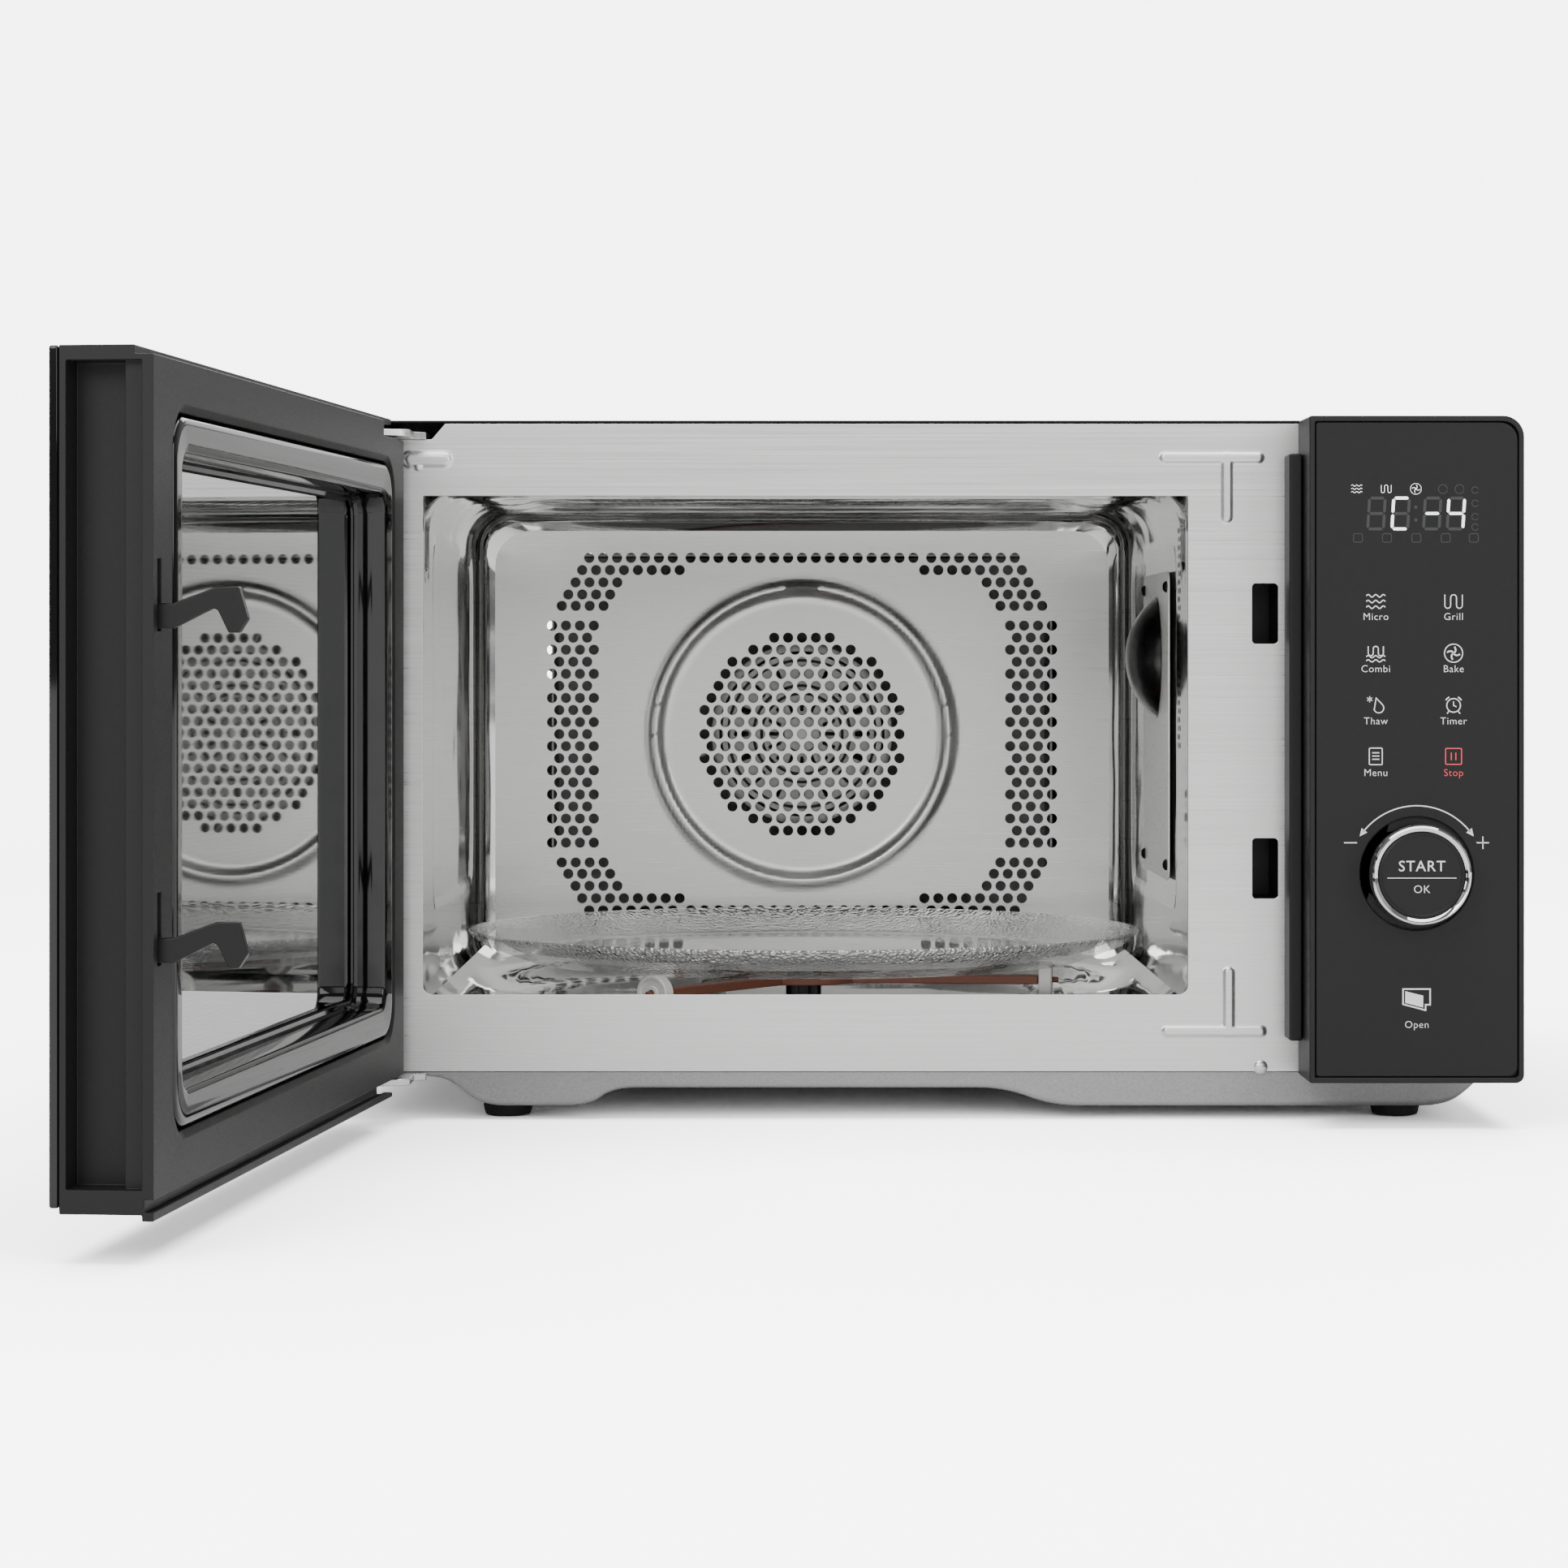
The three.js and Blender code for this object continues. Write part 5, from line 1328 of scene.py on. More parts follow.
def make_display(colours):
    """The lit and the unlit parts of the display behind the fascia."""
    material, tree, shader = new_material("display_glow", base_color="#ffffff", roughness=0.5,
                                          emission_strength=1.25)
    shader.inputs["Emission Color"].default_value = tuple(colours.display_glow) + (1.0,)
    grain(tree, shader, 0.5, 0.0, ("#f4f4f4", "#ffffff"))
    _made["display_glow"] = material
    _made["display_unlit"] = make_simple("display_unlit", "#2a2b2d", 0.45, 0.0, 0.5, 0.0,
                                         ("#29292b", "#2c2d2f"))
    cells = (236.9, 247.1, 260.4, 270.4)
    low, high, width, line = 253.2, 266.2, 6.6, 1.25
    bm = bmesh.new()
    digit(bm, "adef", cells[1], low, width, high - low, line)
    digit(bm, "g", cells[2], low, width, high - low, line)
    digit(bm, "fgbc", cells[3], low, width, high - low, line)
    icon_waves(bm, 232.3, 270.1, 4.6, 0.18)
    icon_coil(bm, 244.7, 270.1, 4.6, 0.2)
    icon_fan(bm, 257.2, 270.1, 4.8, 0.15)
    lit = build("display_lit", bm, outward=True)
    settle(lit, "cabinet", "gloss_black_plastic", "display_glow")
    bm = bmesh.new()
    digit(bm, "abcdefg", cells[0], low, width, high - low, line)
    digit(bm, "bcg", cells[1], low, width, high - low, line)
    digit(bm, "abcdef", cells[2], low, width, high - low, line)
    digit(bm, "ade", cells[3], low, width, high - low, line)
    for z in (257.0, 262.4):
        patch(bm, [(257.2 + a, z + b) for a, b in circle(0.7, 12)])
    for x in (232.8, 245.0, 257.4, 269.8, 281.6):
        ribbon(bm, rounded(x - 1.9, x + 1.9, 247.6, 251.2, 0.8, 3), 0.35, closed=True)
    for z in (269.6, 264.0, 258.4, 254.0):
        ribbon(bm, arc(282.2, z, 1.4, 20, 330, 12), 0.35)
    for x in (268.6, 275.6):
        ribbon(bm, arc(x, 270.0, 1.9, 0, 345, 16), 0.35)
    unlit = build("display_dark_segments", bm)
    settle(unlit, "cabinet", "gloss_black_plastic", "display_unlit")


def make_fascia():
    """The inset fascia: a flat plate with a softly rounded rim and a round hole for the knob."""
    (x0, x1), (y0, y1), (z0, z1) = room_of("panel_face")
    bm = bmesh.new()
    rings = []
    for inset, y in ((0.0, y1), (0.0, y0 + 0.5), (0.15, y0 + 0.15), (0.5, y0)):
        rings.append([at(a, y, b) for a, b in
                      rounded(x0 + inset, x1 - inset, z0 + inset, z1 - inset, (1.2, 4.2, 7.4, 1.2), 8)])
    loft(bm, rings)
    face = build("panel_fascia", bm)
    knob = JOINTS["knob_turn"]["pos_m"]
    ring_low, ring_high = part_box("knob_ring")
    radius = (ring_high[2] - ring_low[2]) / 2 / MM + 2.5
    bm = bmesh.new()
    profile = [(0.0, y0 - 2), (radius + 1.9, y0 - 2), (radius + 0.4, y0 + 0.15), (radius, y0 + 0.7),
               (radius, y1 + 2),
               (0.0, y1 + 2)]
    lathe(bm, profile, lambda a, b, c: Vector((knob[0] + a * MM, FACE_Y + c * MM, knob[2] + b * MM)), 96)
    return resmooth(cut(face, build("knob_hole", bm)))


def make_panel(sizes, colours):
    """The control panel: housing, inset fascia, bumper, printed icons with generic words, and display."""
    housing = edged(copy_of("panel_housing", "panel_case"), 0.6, 3)
    settle(housing, "cabinet", "charcoal_plastic", "charcoal_plastic", "panel_housing")
    face = make_fascia()
    settle(face, "cabinet", "gloss_black_plastic", "panel_lacquer", "panel_face")
    bumper = edged(copy_of("bumper_strip", "door_bumper"), 0.9, 3)
    settle(bumper, "cabinet", "charcoal_plastic", "charcoal_plastic", "bumper_strip")
    knob = JOINTS["knob_turn"]["pos_m"]
    kx, kz = (knob[0] - CENTRE[0]) / MM, knob[2] / MM
    left, right = 240.3, 273.1
    line = 0.42
    words = []
    bm = bmesh.new()
    icon_waves(bm, left, 222.6, 8.0, line)
    icon_coil(bm, right, 222.6, 8.0, line)
    icon_combi(bm, left, 200.6, 8.0, line)
    icon_fan(bm, right, 200.8, 8.0, line)
    icon_thaw(bm, left, 179.0, 8.0, line)
    icon_clock(bm, right, 178.8, 7.6, line)
    icon_list(bm, left, 157.3, 7.6, line)
    for text, x, z in (("Micro", left, 216.1), ("Grill", right, 216.1), ("Combi", left, 194.1),
                       ("Bake", right, 194.1), ("Thaw", left, 172.1), ("Timer", right, 172.1),
                       ("Menu", left, 150.3), ("Open", 257.6, 44.1)):
        words.append(lettering(text, x, z, sizes.letter_height / MM))
    ribbon(bm, arc(kx, kz, 28.6, 142, 38, 32), 0.5)
    for side in (-1, 1):
        angle = math.radians(90 + side * 52)
        tip = Vector((kx + 28.6 * math.cos(angle), kz + 28.6 * math.sin(angle)))
        ahead = Vector((-math.sin(angle), math.cos(angle))) * side
        across = Vector((math.cos(angle), math.sin(angle)))
        patch(bm, [tuple(tip + ahead * 2.4), tuple(tip + across * 1.5 - ahead * 0.8),
                   tuple(tip - across * 1.5 - ahead * 0.8)])
    ribbon(bm, [(kx - 30.6, 120.9), (kx - 25.2, 120.9)], 0.45)
    ribbon(bm, [(kx + 25.3, 120.9), (kx + 30.5, 120.9)], 0.45)
    ribbon(bm, [(kx + 27.9, 118.3), (kx + 27.9, 123.5)], 0.45)
    frame_line = [(251.8, 59.2), (263.2, 59.2), (263.2, 52.6), (261.3, 52.6), (261.3, 50.3),
                  (251.8, 52.8)]
    ribbon(bm, frame_line, 0.6, closed=True)
    patch(bm, [(252.7, 53.4), (260.3, 51.4), (260.3, 56.4), (252.7, 58.3)])
    marks = build("marks", bm)
    print_layer = joined("panel_print", [marks] + words)
    resmooth(print_layer)
    settle(print_layer, "cabinet", "gloss_black_plastic", "white_ink")
    bm = bmesh.new()
    icon_pause(bm, right, 157.3, 8.0, line)
    stop = joined("panel_print_stop",
                  [build("pause", bm), lettering("Stop", right, 150.3, sizes.letter_height / MM)])
    resmooth(stop)
    settle(stop, "cabinet", "gloss_black_plastic", "red_ink")
    make_display(colours)


def make_knob():
    """The chrome ring that turns and the black cap in it that is pressed."""
    low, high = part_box("knob_ring")
    knob = JOINTS["knob_turn"]["pos_m"]
    outer = (high[2] - low[2]) / 2 / MM
    proud = (high[1] - low[1]) / MM

    def place(a, b, c):
        return Vector((knob[0] + a * MM, high[1] - c * MM, knob[2] + b * MM))
    inner = outer - 3.0
    bm = bmesh.new()
    profile = [(outer - 0.6, 0.0), (outer, 0.6), (outer, proud - 2.6), (outer - 0.25, proud - 1.3),
               (outer - 0.8, proud - 0.4), (outer - 1.4, proud), (outer - 1.9, proud - 0.25),
               (inner + 0.1, proud - 1.0), (inner, proud - 2.2), (inner, 0.4), (inner + 0.4, 0.0)]
    lathe(bm, profile, place, 112)
    ring = build("chrome_knob_ring", bm, 40.0)
    settle(ring, "knob", "chrome_plate", "chrome_plate", "knob_ring")
    low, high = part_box("confirm_button")
    radius = (high[2] - low[2]) / 2 / MM
    front = (high[1] - low[1]) / MM

    def cap_place(a, b, c):
        return Vector((knob[0] + a * MM, high[1] - c * MM, knob[2] + b * MM))
    bm = bmesh.new()
    profile = [(0.0, 0.0), (radius - 8, 0.0), (radius - 8, 6.0), (radius, 6.0), (radius, front - 1.6),
               (radius - 0.5, front - 0.5), (radius - 1.6, front), (radius - 2.0, front - 0.3),
               (0.0, front - 0.3)]
    lathe(bm, profile, cap_place, 96)
    cap = build("confirm_cap", bm, 30.0)
    settle(cap, "confirm", "gloss_black_plastic", "panel_lacquer", "confirm_button")
    kx, kz = (knob[0] - CENTRE[0]) / MM, knob[2] / MM
    face = (low[1] - FACE_Y) / MM + 0.3
    words = [lettering("START", kx, kz + 3.6, 4.6, 0.05, face, 0.0),
             lettering("OK", kx, kz - 6.0, 3.4, 0.05, face)]
    bm = bmesh.new()
    prism(bm, [(kx - 14.4, kz - 1.3), (kx + 14.4, kz - 1.3), (kx + 14.4, kz - 1.0),
               (kx - 14.4, kz - 1.0)],
          face - 0.06, face - 0.01, lambda a, b, c: at(a, c, b))
    cap_print = joined("confirm_print", words + [build("line", bm)])
    resmooth(cap_print)
    settle(cap_print, "confirm", "gloss_black_plastic", "white_ink")


# ------------------------------------------------------------------ door
RIM = (26.2, 382.8, 40.3, 280.1)  # the glossy rim's outer edge: s0, s1, z0, z1


def lay_uv(piece):
    """Writes (s, z) in metres into the piece's UV map, for patterns that lie in the door's plane."""
    layer = piece.data.uv_layers.new(name="door_plane")
    turn = -DOOR_OPEN
    along = Vector((math.cos(turn), math.sin(turn), 0))
    for loop in piece.data.loops:
        point = piece.data.vertices[loop.vertex_index].co
        layer.data[loop.index].uv = ((point - Vector(PIVOT)).dot(along) + HINGE_ALONG * MM, point.z)


def dots(tree, pitch, radius):
    """1 inside a hexagonal pattern of dots on the door's plane, sizes in mm."""
    uv = add_node(tree, "ShaderNodeTexCoord").outputs["UV"]
    found = []
    for shift in ((0.0, 0.0), (0.5, 0.5)):
        scaled = add_node(tree, "ShaderNodeMapping", {"Vector": uv},
                          {"Scale": (1 / (pitch * MM), 1 / (pitch * 1.732 * MM), 1),
                           "Location": (*shift, 0)})
        cell = add_node(tree, "ShaderNodeVectorMath", {0: scaled.outputs[0]}, operation="FRACTION")
        centred = add_node(tree, "ShaderNodeVectorMath", {0: cell.outputs[0]}, {1: (0.5, 0.5, 0)},
                           operation="SUBTRACT")
        even = add_node(tree, "ShaderNodeVectorMath", {0: centred.outputs[0]},
                        {1: (pitch, pitch * 1.732, 0)},
                        operation="MULTIPLY")
        length = add_node(tree, "ShaderNodeVectorMath", {0: even.outputs[0]}, operation="LENGTH")
        found.append(length.outputs["Value"])
    near = add_node(tree, "ShaderNodeMath", {0: found[0], 1: found[1]}, operation="MINIMUM")
    return add_node(tree, "ShaderNodeMapRange", {"Value": near.outputs[0]},
                    {"From Min": radius * 0.9, "From Max": radius * 1.1, "To Min": 1.0,
                     "To Max": 0.0}).outputs[0]


def make_window_finish():
    # Perforated bright steel bonded behind clear glass: near mirror along its face, dotted head-on.
    material, tree, shader = new_material("screened_glass", base_color="#b9bcbb", metallic=1.0,
                                          roughness=0.02,
                                          coat_weight=1.0)
    # The real holes are 1.2 mm apart; they are drawn 1.9 mm apart so that they show.
    mask = dots(tree, 1.9, 0.62)
    facing = add_node(tree, "ShaderNodeLayerWeight", None, {"Blend": 0.5}).outputs["Facing"]
    fade = add_node(tree, "ShaderNodeMapRange", {"Value": facing},
                    {"From Min": 0.35, "From Max": 0.85, "To Min": 0.92, "To Max": 0.0})
    share = add_node(tree, "ShaderNodeMath", {0: mask, 1: fade.outputs[0]}, operation="MULTIPLY")
    mix = add_node(tree, "ShaderNodeMix", {"Factor": share.outputs[0]}, data_type="RGBA")
    mix.inputs[6].default_value = linear("#c3c6c5")
    mix.inputs[7].default_value = linear("#1b1c1d")
    tree.links.new(mix.outputs[2], shader.inputs["Base Color"])
    return material


def make_front_glass_finish():
    # Tempered glass, black-fired on its back; the window is a field of fine clear dots over the dark screen.
    material, tree, shader = new_material("black_fired_glass", base_color="#08090a",
                                          roughness=0.03, ior=1.52,
                                          coat_weight=0.0)
    uv = add_node(tree, "ShaderNodeTexCoord").outputs["UV"]
    split = add_node(tree, "ShaderNodeSeparateXYZ", {"Vector": uv})
    inside = None
    for socket, low, high in (("X", 0.046, 0.363), ("Y", 0.062, 0.259)):
        for edge, sign in ((low, 1), (high, -1)):
            side = add_node(tree, "ShaderNodeMath", {0: split.outputs[socket]}, {1: edge},
                            operation="GREATER_THAN" if sign > 0 else "LESS_THAN")
            inside = side.outputs[0] if inside is None else add_node(
                tree, "ShaderNodeMath", {0: inside, 1: side.outputs[0]}, operation="MULTIPLY").outputs[0]
    share = add_node(tree, "ShaderNodeMath", {0: dots(tree, 2.4, 0.8), 1: inside}, operation="MULTIPLY")
    mix = add_node(tree, "ShaderNodeMix", {"Factor": share.outputs[0]}, data_type="RGBA")
    mix.inputs[6].default_value = linear("#090a0b")
    mix.inputs[7].default_value = linear("#26282a")
    tree.links.new(mix.outputs[2], shader.inputs["Base Color"])
    return material


MAKERS["screened_glass"] = make_window_finish
MAKERS["black_fired_glass"] = make_front_glass_finish


def make_door_frame():
    """The moulded door frame, with a chamfer round the glossy rim."""
    body = copy_of("door_frame", "door_moulding")
    bm = bmesh.new()
    s0, s1, z0, z1 = RIM
    rings = []
    for grow, t in ((5.0, -1.6), (3.4, 0.0), (0.1, 2.0), (0.1, 2.2)):
        rings.append([door_at(a, b, t) for a, b in
                      rounded(s0 - grow, s1 + grow, z0 - grow, z1 + grow, 13.5 + grow, 8)])
    loft(bm, rings)
    chamfer = build("chamfer", bm)
    cut(body, chamfer)
    body = edged(body, 0.4, 2)
    resmooth(body)
    settle(body, "door", "charcoal_plastic", "charcoal_plastic", "door_frame")


def make_door_rim(sizes):
    """The glossy black rim round the window: a round outer roll, a slope and a steep inner wall."""
    s0, s1, z0, z1 = RIM
    depth = sizes.window_depth / MM
    bm = bmesh.new()
    rings = []
    profile = ((0.5, 6.0), (0.2, 1.6), (0.5, 0.9), (1.2, 0.35), (2.2, 0.08), (3.2, 0.0),
               (4.4, 0.15), (5.6, 0.25),
               (10.2, 0.55), (11.4, 0.8), (12.2, 1.3), (12.7, 2.4), (13.0, depth - 2.6),
               (14.0, depth - 1.4),
               (15.6, depth - 1.2), (16.2, depth - 0.5), (13.2, depth - 0.42), (11.4, depth - 0.5),
               (11.2, 6.2),
               (4.0, 6.2))
    for inset, t in profile:
        rings.append([door_at(a, b, t) for a, b in
                      rounded(s0 + inset, s1 - inset, z0 + inset, z1 - inset,
                              max(14.0 - inset * 0.45, 5.0), 10)])
    loft(bm, rings, along=True)
    rim = build("door_gloss_rim", bm, 35.0)
    settle(rim, "door", "gloss_black_plastic", "gloss_black_plastic", "door_choke_cover")


def make_door_glass():
    """The screened inner window and the black outer glass."""
    window = edged(copy_of("door_inner_glass", "door_window"), 0.3, 2)
    lay_uv(window)
    settle(window, "door", "mirror_film_glass", "screened_glass", "door_inner_glass")
    outer = edged(copy_of("door_front_glass", "door_outer_glass"), 0.7, 3)
    lay_uv(outer)
    settle(outer, "door", "smoked_glass", "black_fired_glass", "door_front_glass")


def make_latch(sizes):
    """The two door hooks on their bar, and the coil spring that pulls them down."""
    hooks = edged(copy_of("latch_hooks", "door_hooks"), 0.45, 3)
    settle(hooks, "latch", "black_plastic", "black_plastic", "latch_hooks")
    low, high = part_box("latch_spring")
    middle = (Vector(low) + Vector(high)) / 2
    radius = (high[0] - low[0]) / 2 - 0.45 * MM
    turns = sizes.spring_turns
    path = [Vector((middle[0] + radius * math.cos(2 * math.pi * k / 16),
                    middle[1] + radius * math.sin(2 * math.pi * k / 16),
                    low[2] + 0.5 * MM + (high[2] - low[2] - 1.0 * MM) * k / (16 * turns)))
            for k in range(16 * turns + 1)]
    bm = bmesh.new()
    tube(bm, path, 0.42 * MM, 8)
    spring = build("hook_spring", bm)
    settle(spring, "door", "spring_steel", "spring_steel", "latch_spring")


def make_hinges():
    """The two plated hinge brackets with their pins."""
    for level in ("upper", "lower"):
        bracket = edged(copy_of(f"{level}_hinge", f"{level}_hinge_bracket"), 0.35, 2)
        settle(bracket, "cabinet", "zinc_plated_steel", "zinc_plated_steel", f"{level}_hinge")


def dress_inner_works():
    """Gives every frame node that stays a finish of its own."""
    for entry in frame["record"]["subparts"]:
        node = frame["nodes"][entry["node"]]
        if entry["material_slot"] in MAKERS:
            node.data.materials.clear()
            node.data.materials.append(material_for(entry["material_slot"]))


# ------------------------------------------------------------------ stage
SKY_SEEN = 6.0  # brightness of the backdrop where the camera sees it
SKY_FELT = 1.9  # brightness of the far floor in reflections
PAPER_ENDS = (0.8, 3.2)  # distances, in metres, over which the paper turns into the backdrop
PAPER_GAIN = 3.6  # how much brighter the lit paper is shown than it lights the oven


def add_light(name, place, target, size, power, tint="#ffffff"):
    """A soft rectangular studio light pointed at a target."""
    lamp = bpy.data.lights.new(name, "AREA")
    lamp.shape = "RECTANGLE"
    lamp.size, lamp.size_y = size
    lamp.energy = power
    lamp.color = linear(tint)[:3]
    holder = bpy.data.objects.new(name, lamp)
    holder.location = place
    holder.rotation_euler = (Vector(target) - Vector(place)).to_track_quat("-Z", "Y").to_euler()
    bpy.context.scene.collection.objects.link(holder)


def make_stage():
    """Floor, sky, lights and the camera."""
    bm = bmesh.new()
    reach = 30.0
    loft(bm, [[Vector((x, y, z)) for x,
               y in ((-reach, -reach), (reach, -reach), (reach, reach), (-reach, reach))]
              for z in (-0.02, -0.0003)])
    floor = build("studio_floor", bm)
    material, tree, shader = new_material("white_paper", base_color="#f4f4f4", roughness=0.9)
    grain(tree, shader, 3.0, 0.0, ("#f3f3f3", "#f5f5f5"))
    seen = add_node(tree, "ShaderNodeLightPath").outputs["Is Camera Ray"]
    bright = add_node(tree, "ShaderNodeBsdfDiffuse", None,
                      {"Color": (PAPER_GAIN, PAPER_GAIN, PAPER_GAIN, 1.0)})
    paper = add_node(tree, "ShaderNodeMixShader", {0: seen, 1: shader.outputs[0], 2: bright.outputs[0]})
    # Far off the paper glows as bright as the sky, so that no horizon shows.
    place = add_node(tree, "ShaderNodeTexCoord").outputs["Object"]
    away = add_node(tree, "ShaderNodeVectorMath", {0: place}, operation="LENGTH")
    glow = add_node(tree, "ShaderNodeMapRange", {"Value": away.outputs["Value"]},
                    {"From Min": PAPER_ENDS[0], "From Max": PAPER_ENDS[1], "To Min": 0.0, "To Max": 1.0},
                    interpolation_type="SMOOTHSTEP")
    power = add_node(tree, "ShaderNodeMapRange", {"Value": seen},
                     {"To Min": SKY_FELT, "To Max": SKY_SEEN})
    far = add_node(tree, "ShaderNodeEmission", {"Strength": power.outputs[0]},
                   {"Color": linear("#ffffff")})
    blend = add_node(tree, "ShaderNodeMixShader",
                     {0: glow.outputs[0], 1: paper.outputs[0], 2: far.outputs[0]})
    tree.links.new(blend.outputs[0], tree.nodes["Material Output"].inputs["Surface"])
    floor.data.materials.append(material)

    world = bpy.data.worlds.new("studio")
    bpy.context.scene.world = world
    world.use_nodes = True
    tree = world.node_tree
    sky = tree.nodes["Background"]
    sky.inputs["Color"].default_value = linear("#ffffff")
    # A softbox belt between low and high dark parts, so that bright metal shows light and dark streaks.
    direction = add_node(tree, "ShaderNodeSeparateXYZ", {
        "Vector": add_node(tree, "ShaderNodeTexCoord").outputs["Generated"]})
    sideways = add_node(tree, "ShaderNodeMath", {0: direction.outputs["X"]},
                        operation="ABSOLUTE").outputs[0]
    level_of = {"low": (direction.outputs["Z"], 0.05, 0.13, 0.0, 1.0),
                "high": (direction.outputs["Z"], 0.5, 0.62, 1.0, 0.0),
                "side": (sideways, 0.3, 0.42, 1.0, 0.15)}
    belt = None
    for source, start, stop, first, last in level_of.values():
        step = add_node(tree, "ShaderNodeMapRange", {"Value": source}, {
            "From Min": start, "From Max": stop, "To Min": first, "To Max": last},
            interpolation_type="SMOOTHSTEP").outputs[0]
        belt = step if belt is None else add_node(tree, "ShaderNodeMath", {0: belt, 1: step},
                                                  operation="MULTIPLY").outputs[0]
    strength = add_node(tree, "ShaderNodeMapRange", {"Value": belt}, {"To Min": 0.2, "To Max": 1.9})
    tree.links.new(strength.outputs[0], sky.inputs["Strength"])
    seen = add_node(tree, "ShaderNodeBackground", None,
                    {"Color": linear("#ffffff"), "Strength": SKY_SEEN})
    path = add_node(tree, "ShaderNodeLightPath")
    mix = add_node(tree, "ShaderNodeMixShader", {0: path.outputs["Is Camera Ray"], 1: sky.outputs[0],
                                                 2: seen.outputs[0]})
    tree.links.new(mix.outputs[0], tree.nodes["World Output"].inputs["Surface"])

    add_light("key_light", (-1.4, -2.6, 1.7), (0.0, 0.0, 0.15), (1.4, 1.6), 40)
    add_light("fill_light", (1.9, -2.4, 1.2), (0.05, 0.0, 0.15), (1.0, 1.6), 24)
    add_light("top_light", (0.0, 0.0, 2.6), (0.0, 0.0, 0.0), (3.2, 3.2), 120)
    add_light("rear_light", (0.4, 2.4, 1.6), (0.0, 0.2, 0.15), (1.8, 1.2), 26)

    lens = bpy.data.cameras.new("camera")
    lens.lens = 92.72
    lens.sensor_width = 36.0
    lens.shift_y = -0.0779
    lens.clip_end = 100.0
    camera = bpy.data.objects.new("camera", lens)
    camera.location = at(-9.2, -1740.0, 197.16)
    camera.rotation_euler = (math.pi / 2, 0.0, 0.0)
    bpy.context.scene.collection.objects.link(camera)
    bpy.context.scene.camera = camera


# ------------------------------------------------------------------ add-on
class OVEN_PG_sizes(bpy.types.PropertyGroup):
    """Sizes that a user may change."""
    hole_diameter: bpy.props.FloatProperty(name="Air hole", description="Diameter of one air hole",
                                           default=0.00535, min=0.002, max=0.007, unit="LENGTH")
    hole_pitch: bpy.props.FloatProperty(name="Air hole spacing",
                                        description="Distance between neighbouring holes",
                                        default=0.00712, min=0.006, max=0.02, unit="LENGTH")
    ring_radius: bpy.props.FloatProperty(name="Pressed ring",
                                         description="Middle radius of the ring round the fan",
                                         default=0.0794, min=0.06, max=0.09, unit="LENGTH")
    bead_width: bpy.props.FloatProperty(name="Bead width",
                                        description="Width of the front plate's pressed beads",
                                        default=0.0056, min=0.002, max=0.008, unit="LENGTH")
    bead_height: bpy.props.FloatProperty(name="Bead height", description="How far the beads stand out",
                                         default=0.0013, min=0.0003, max=0.0018, unit="LENGTH")
    tray_fillet: bpy.props.FloatProperty(name="Leg fillet",
                                         description="Rounding of the base tray's legs",
                                         default=0.011, min=0.001, max=0.02, unit="LENGTH")
    vent_length: bpy.props.FloatProperty(name="Side vent length",
                                         description="Length of one slot in the wrap",
                                         default=0.016, min=0.006, max=0.03, unit="LENGTH")
    vent_height: bpy.props.FloatProperty(name="Side vent height",
                                         description="Height of one slot in the wrap",
                                         default=0.0028, min=0.0015, max=0.005, unit="LENGTH")
    letter_height: bpy.props.FloatProperty(name="Letter height",
                                           description="Height of a capital on the panel",
                                           default=0.0031, min=0.002, max=0.005, unit="LENGTH")
    window_depth: bpy.props.FloatProperty(name="Window depth",
                                          description="Door's inner face to its inner glass",
                                          default=0.0152, min=0.01, max=0.0154, unit="LENGTH")
    spring_turns: bpy.props.IntProperty(name="Spring turns", description="Turns of the hook spring",
                                        default=16, min=6, max=24)


class OVEN_PG_colours(bpy.types.PropertyGroup):
    """Colours that a user may change."""
    display_glow: bpy.props.FloatVectorProperty(name="Display",
                                                description="Colour of the lit display segments",
                                                default=(0.95, 0.97, 1.0), min=0.0, max=1.0,
                                                subtype="COLOR")


def sizes_of(context):
    return context.scene.oven_sizes


class OVEN_OT_stage(bpy.types.Operator):
    """Lay the floor, hang the lights and place the camera"""
    bl_idname = "oven.stage"
    bl_label = "Studio"

    def execute(self, context):
        make_stage()
        return {"FINISHED"}


class OVEN_OT_inner_works(bpy.types.Operator):
    """Give the working parts inside the cabinet their finishes"""
    bl_idname = "oven.inner_works"
    bl_label = "Inner works"

    def execute(self, context):
        dress_inner_works()
        return {"FINISHED"}


class OVEN_OT_cabinet(bpy.types.Operator):
    """Build the steel wrap, the rear wall, the base tray, the feet and the cord inlet"""
    bl_idname = "oven.cabinet"
    bl_label = "Cabinet"

    def execute(self, context):
        make_cabinet_wrap(sizes_of(context))
        make_rear_panel(sizes_of(context))
        make_base(sizes_of(context))
        return {"FINISHED"}


class OVEN_OT_front_plate(bpy.types.Operator):
    """Build the brushed front plate with its pressed beads"""
    bl_idname = "oven.front_plate"
    bl_label = "Front plate"

    def execute(self, context):
        make_front_plate(sizes_of(context))
        return {"FINISHED"}


class OVEN_OT_cavity(bpy.types.Operator):
    """Build the cavity, its pierced rear wall, the mica board, the dome and the grill cover"""
    bl_idname = "oven.cavity"
    bl_label = "Cavity"

    def execute(self, context):
        make_liner()
        make_back_wall(sizes_of(context))
        make_cavity_fittings()
        return {"FINISHED"}


class OVEN_OT_turntable(bpy.types.Operator):
    """Build the glass tray, the spider, its wheels and the drive"""
    bl_idname = "oven.turntable"
    bl_label = "Turntable"

    def execute(self, context):
        make_turntable()
        return {"FINISHED"}


class OVEN_OT_fan(bpy.types.Operator):
    """Build the convection blower's wheel"""
    bl_idname = "oven.fan"
    bl_label = "Blower"

    def execute(self, context):
        make_fan()
        return {"FINISHED"}


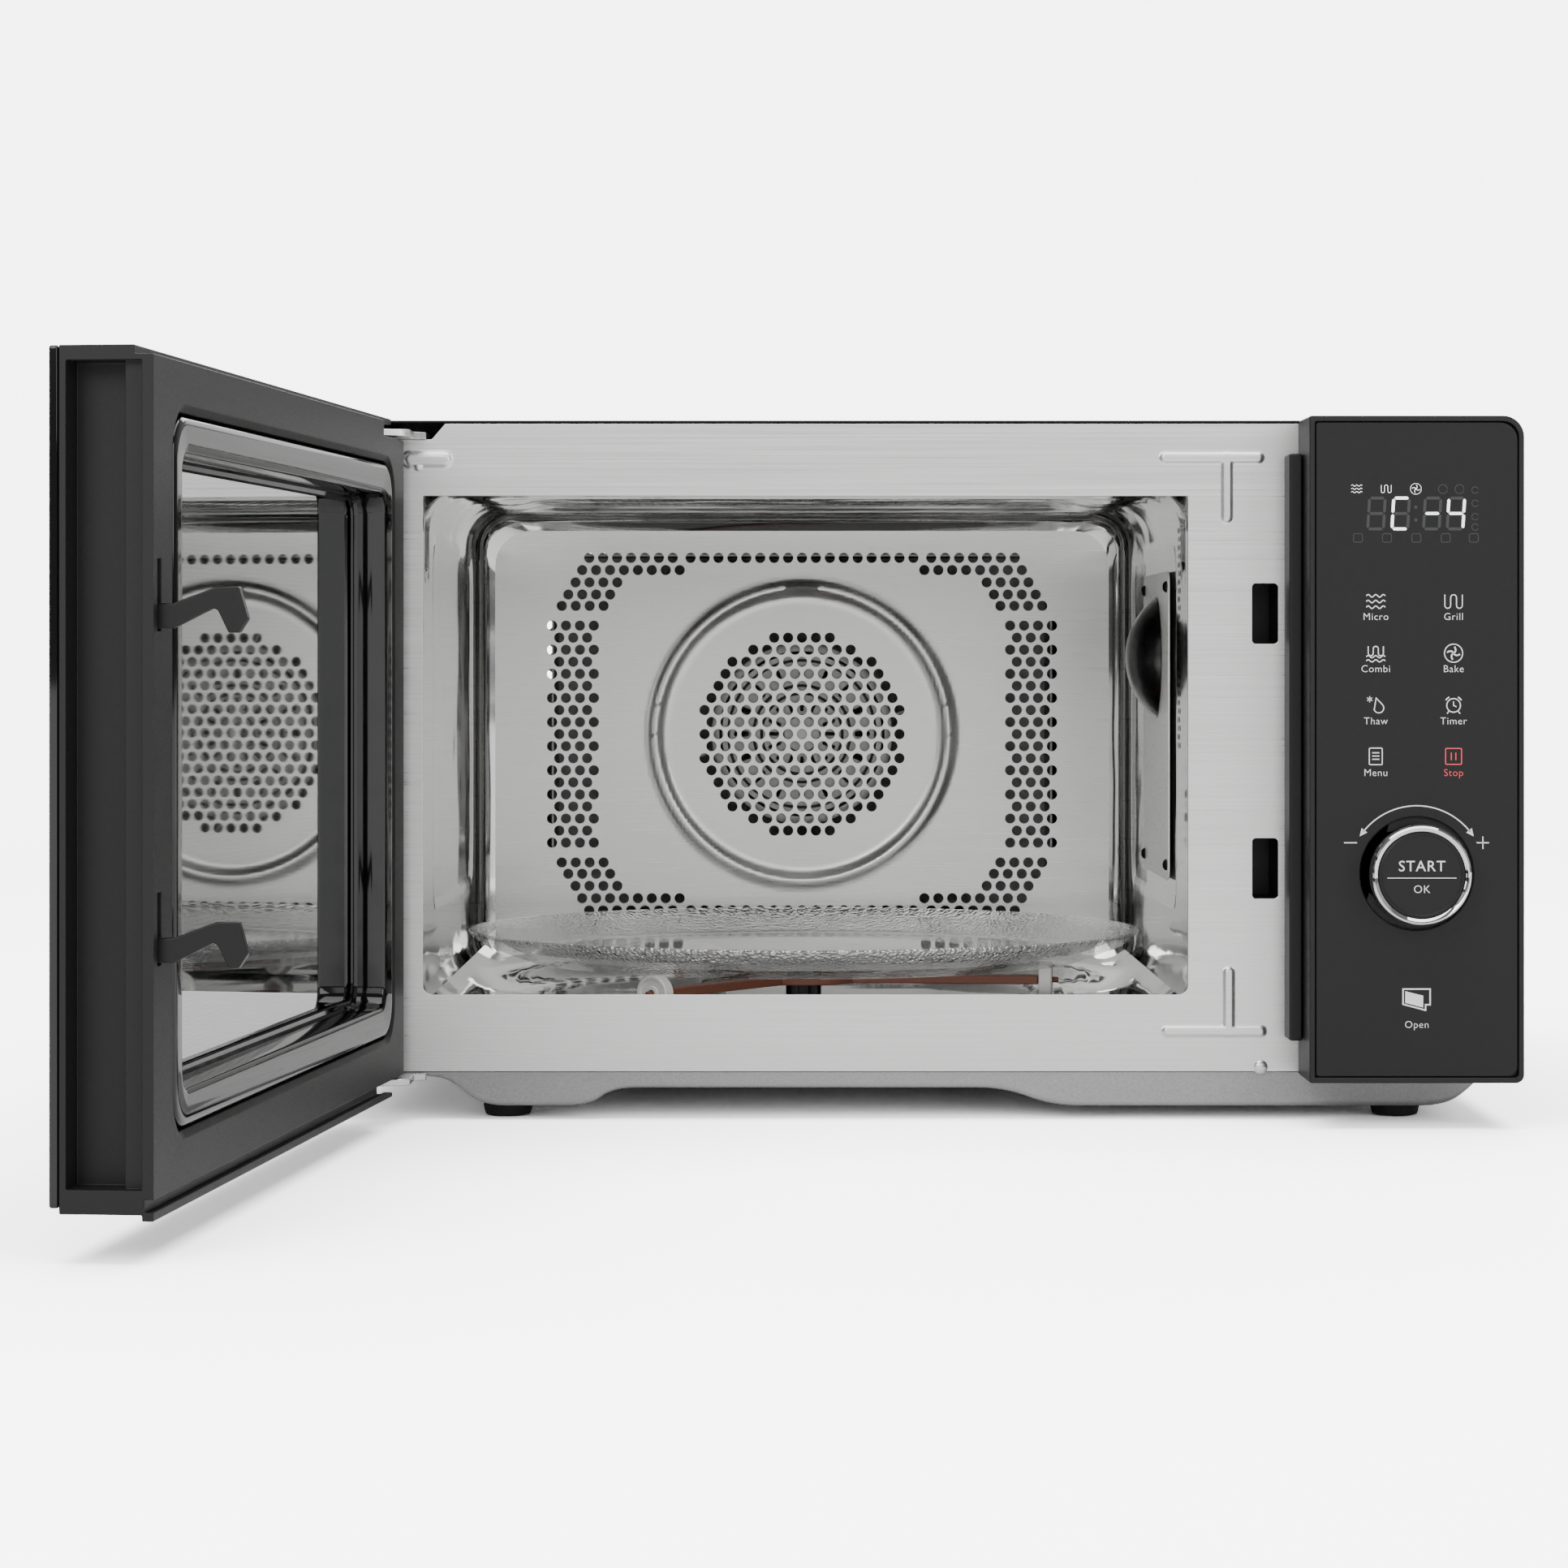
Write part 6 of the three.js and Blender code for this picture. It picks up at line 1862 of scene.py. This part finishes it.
class OVEN_OT_panel(bpy.types.Operator):
    """Build the control panel, its print and its display"""
    bl_idname = "oven.panel"
    bl_label = "Control panel"

    def execute(self, context):
        make_panel(sizes_of(context), context.scene.oven_colours)
        return {"FINISHED"}


class OVEN_OT_knob(bpy.types.Operator):
    """Build the chrome ring and the cap that is pressed"""
    bl_idname = "oven.knob"
    bl_label = "Knob"

    def execute(self, context):
        make_knob()
        return {"FINISHED"}


class OVEN_OT_door(bpy.types.Operator):
    """Build the door's frame, glossy rim, window and outer glass"""
    bl_idname = "oven.door"
    bl_label = "Door"

    def execute(self, context):
        make_door_frame()
        make_door_rim(sizes_of(context))
        make_door_glass()
        return {"FINISHED"}


class OVEN_OT_latch(bpy.types.Operator):
    """Build the door hooks and their spring"""
    bl_idname = "oven.latch"
    bl_label = "Latch"

    def execute(self, context):
        make_latch(sizes_of(context))
        return {"FINISHED"}


class OVEN_OT_hinges(bpy.types.Operator):
    """Build the hinge brackets"""
    bl_idname = "oven.hinges"
    bl_label = "Hinges"

    def execute(self, context):
        make_hinges()
        return {"FINISHED"}


STEPS = (OVEN_OT_stage, OVEN_OT_inner_works, OVEN_OT_cabinet, OVEN_OT_front_plate, OVEN_OT_cavity,
         OVEN_OT_turntable, OVEN_OT_fan, OVEN_OT_panel, OVEN_OT_knob, OVEN_OT_door, OVEN_OT_latch,
         OVEN_OT_hinges)


class OVEN_PT_panel(bpy.types.Panel):
    """The oven's sizes, colours and steps in the 3D view's sidebar"""
    bl_idname = "OVEN_PT_panel"
    bl_label = "Microwave oven"
    bl_space_type = "VIEW_3D"
    bl_region_type = "UI"
    bl_category = "Oven"

    def draw(self, context):
        column = self.layout.column()
        for group in (context.scene.oven_sizes, context.scene.oven_colours):
            for name in group.__annotations__:
                column.prop(group, name)
        for step in STEPS:
            column.operator(step.bl_idname)


CLASSES = (OVEN_PG_sizes, OVEN_PG_colours) + STEPS + (OVEN_PT_panel,)


def register():
    for item in CLASSES:
        bpy.utils.register_class(item)
    bpy.types.Scene.oven_sizes = bpy.props.PointerProperty(type=OVEN_PG_sizes)
    bpy.types.Scene.oven_colours = bpy.props.PointerProperty(type=OVEN_PG_colours)


def unregister():
    del bpy.types.Scene.oven_colours
    del bpy.types.Scene.oven_sizes
    for item in reversed(CLASSES):
        bpy.utils.unregister_class(item)


def main():
    register()
    for step in STEPS:
        getattr(bpy.ops.oven, step.bl_idname.split(".")[1])()


if __name__ == "__main__":
    main()
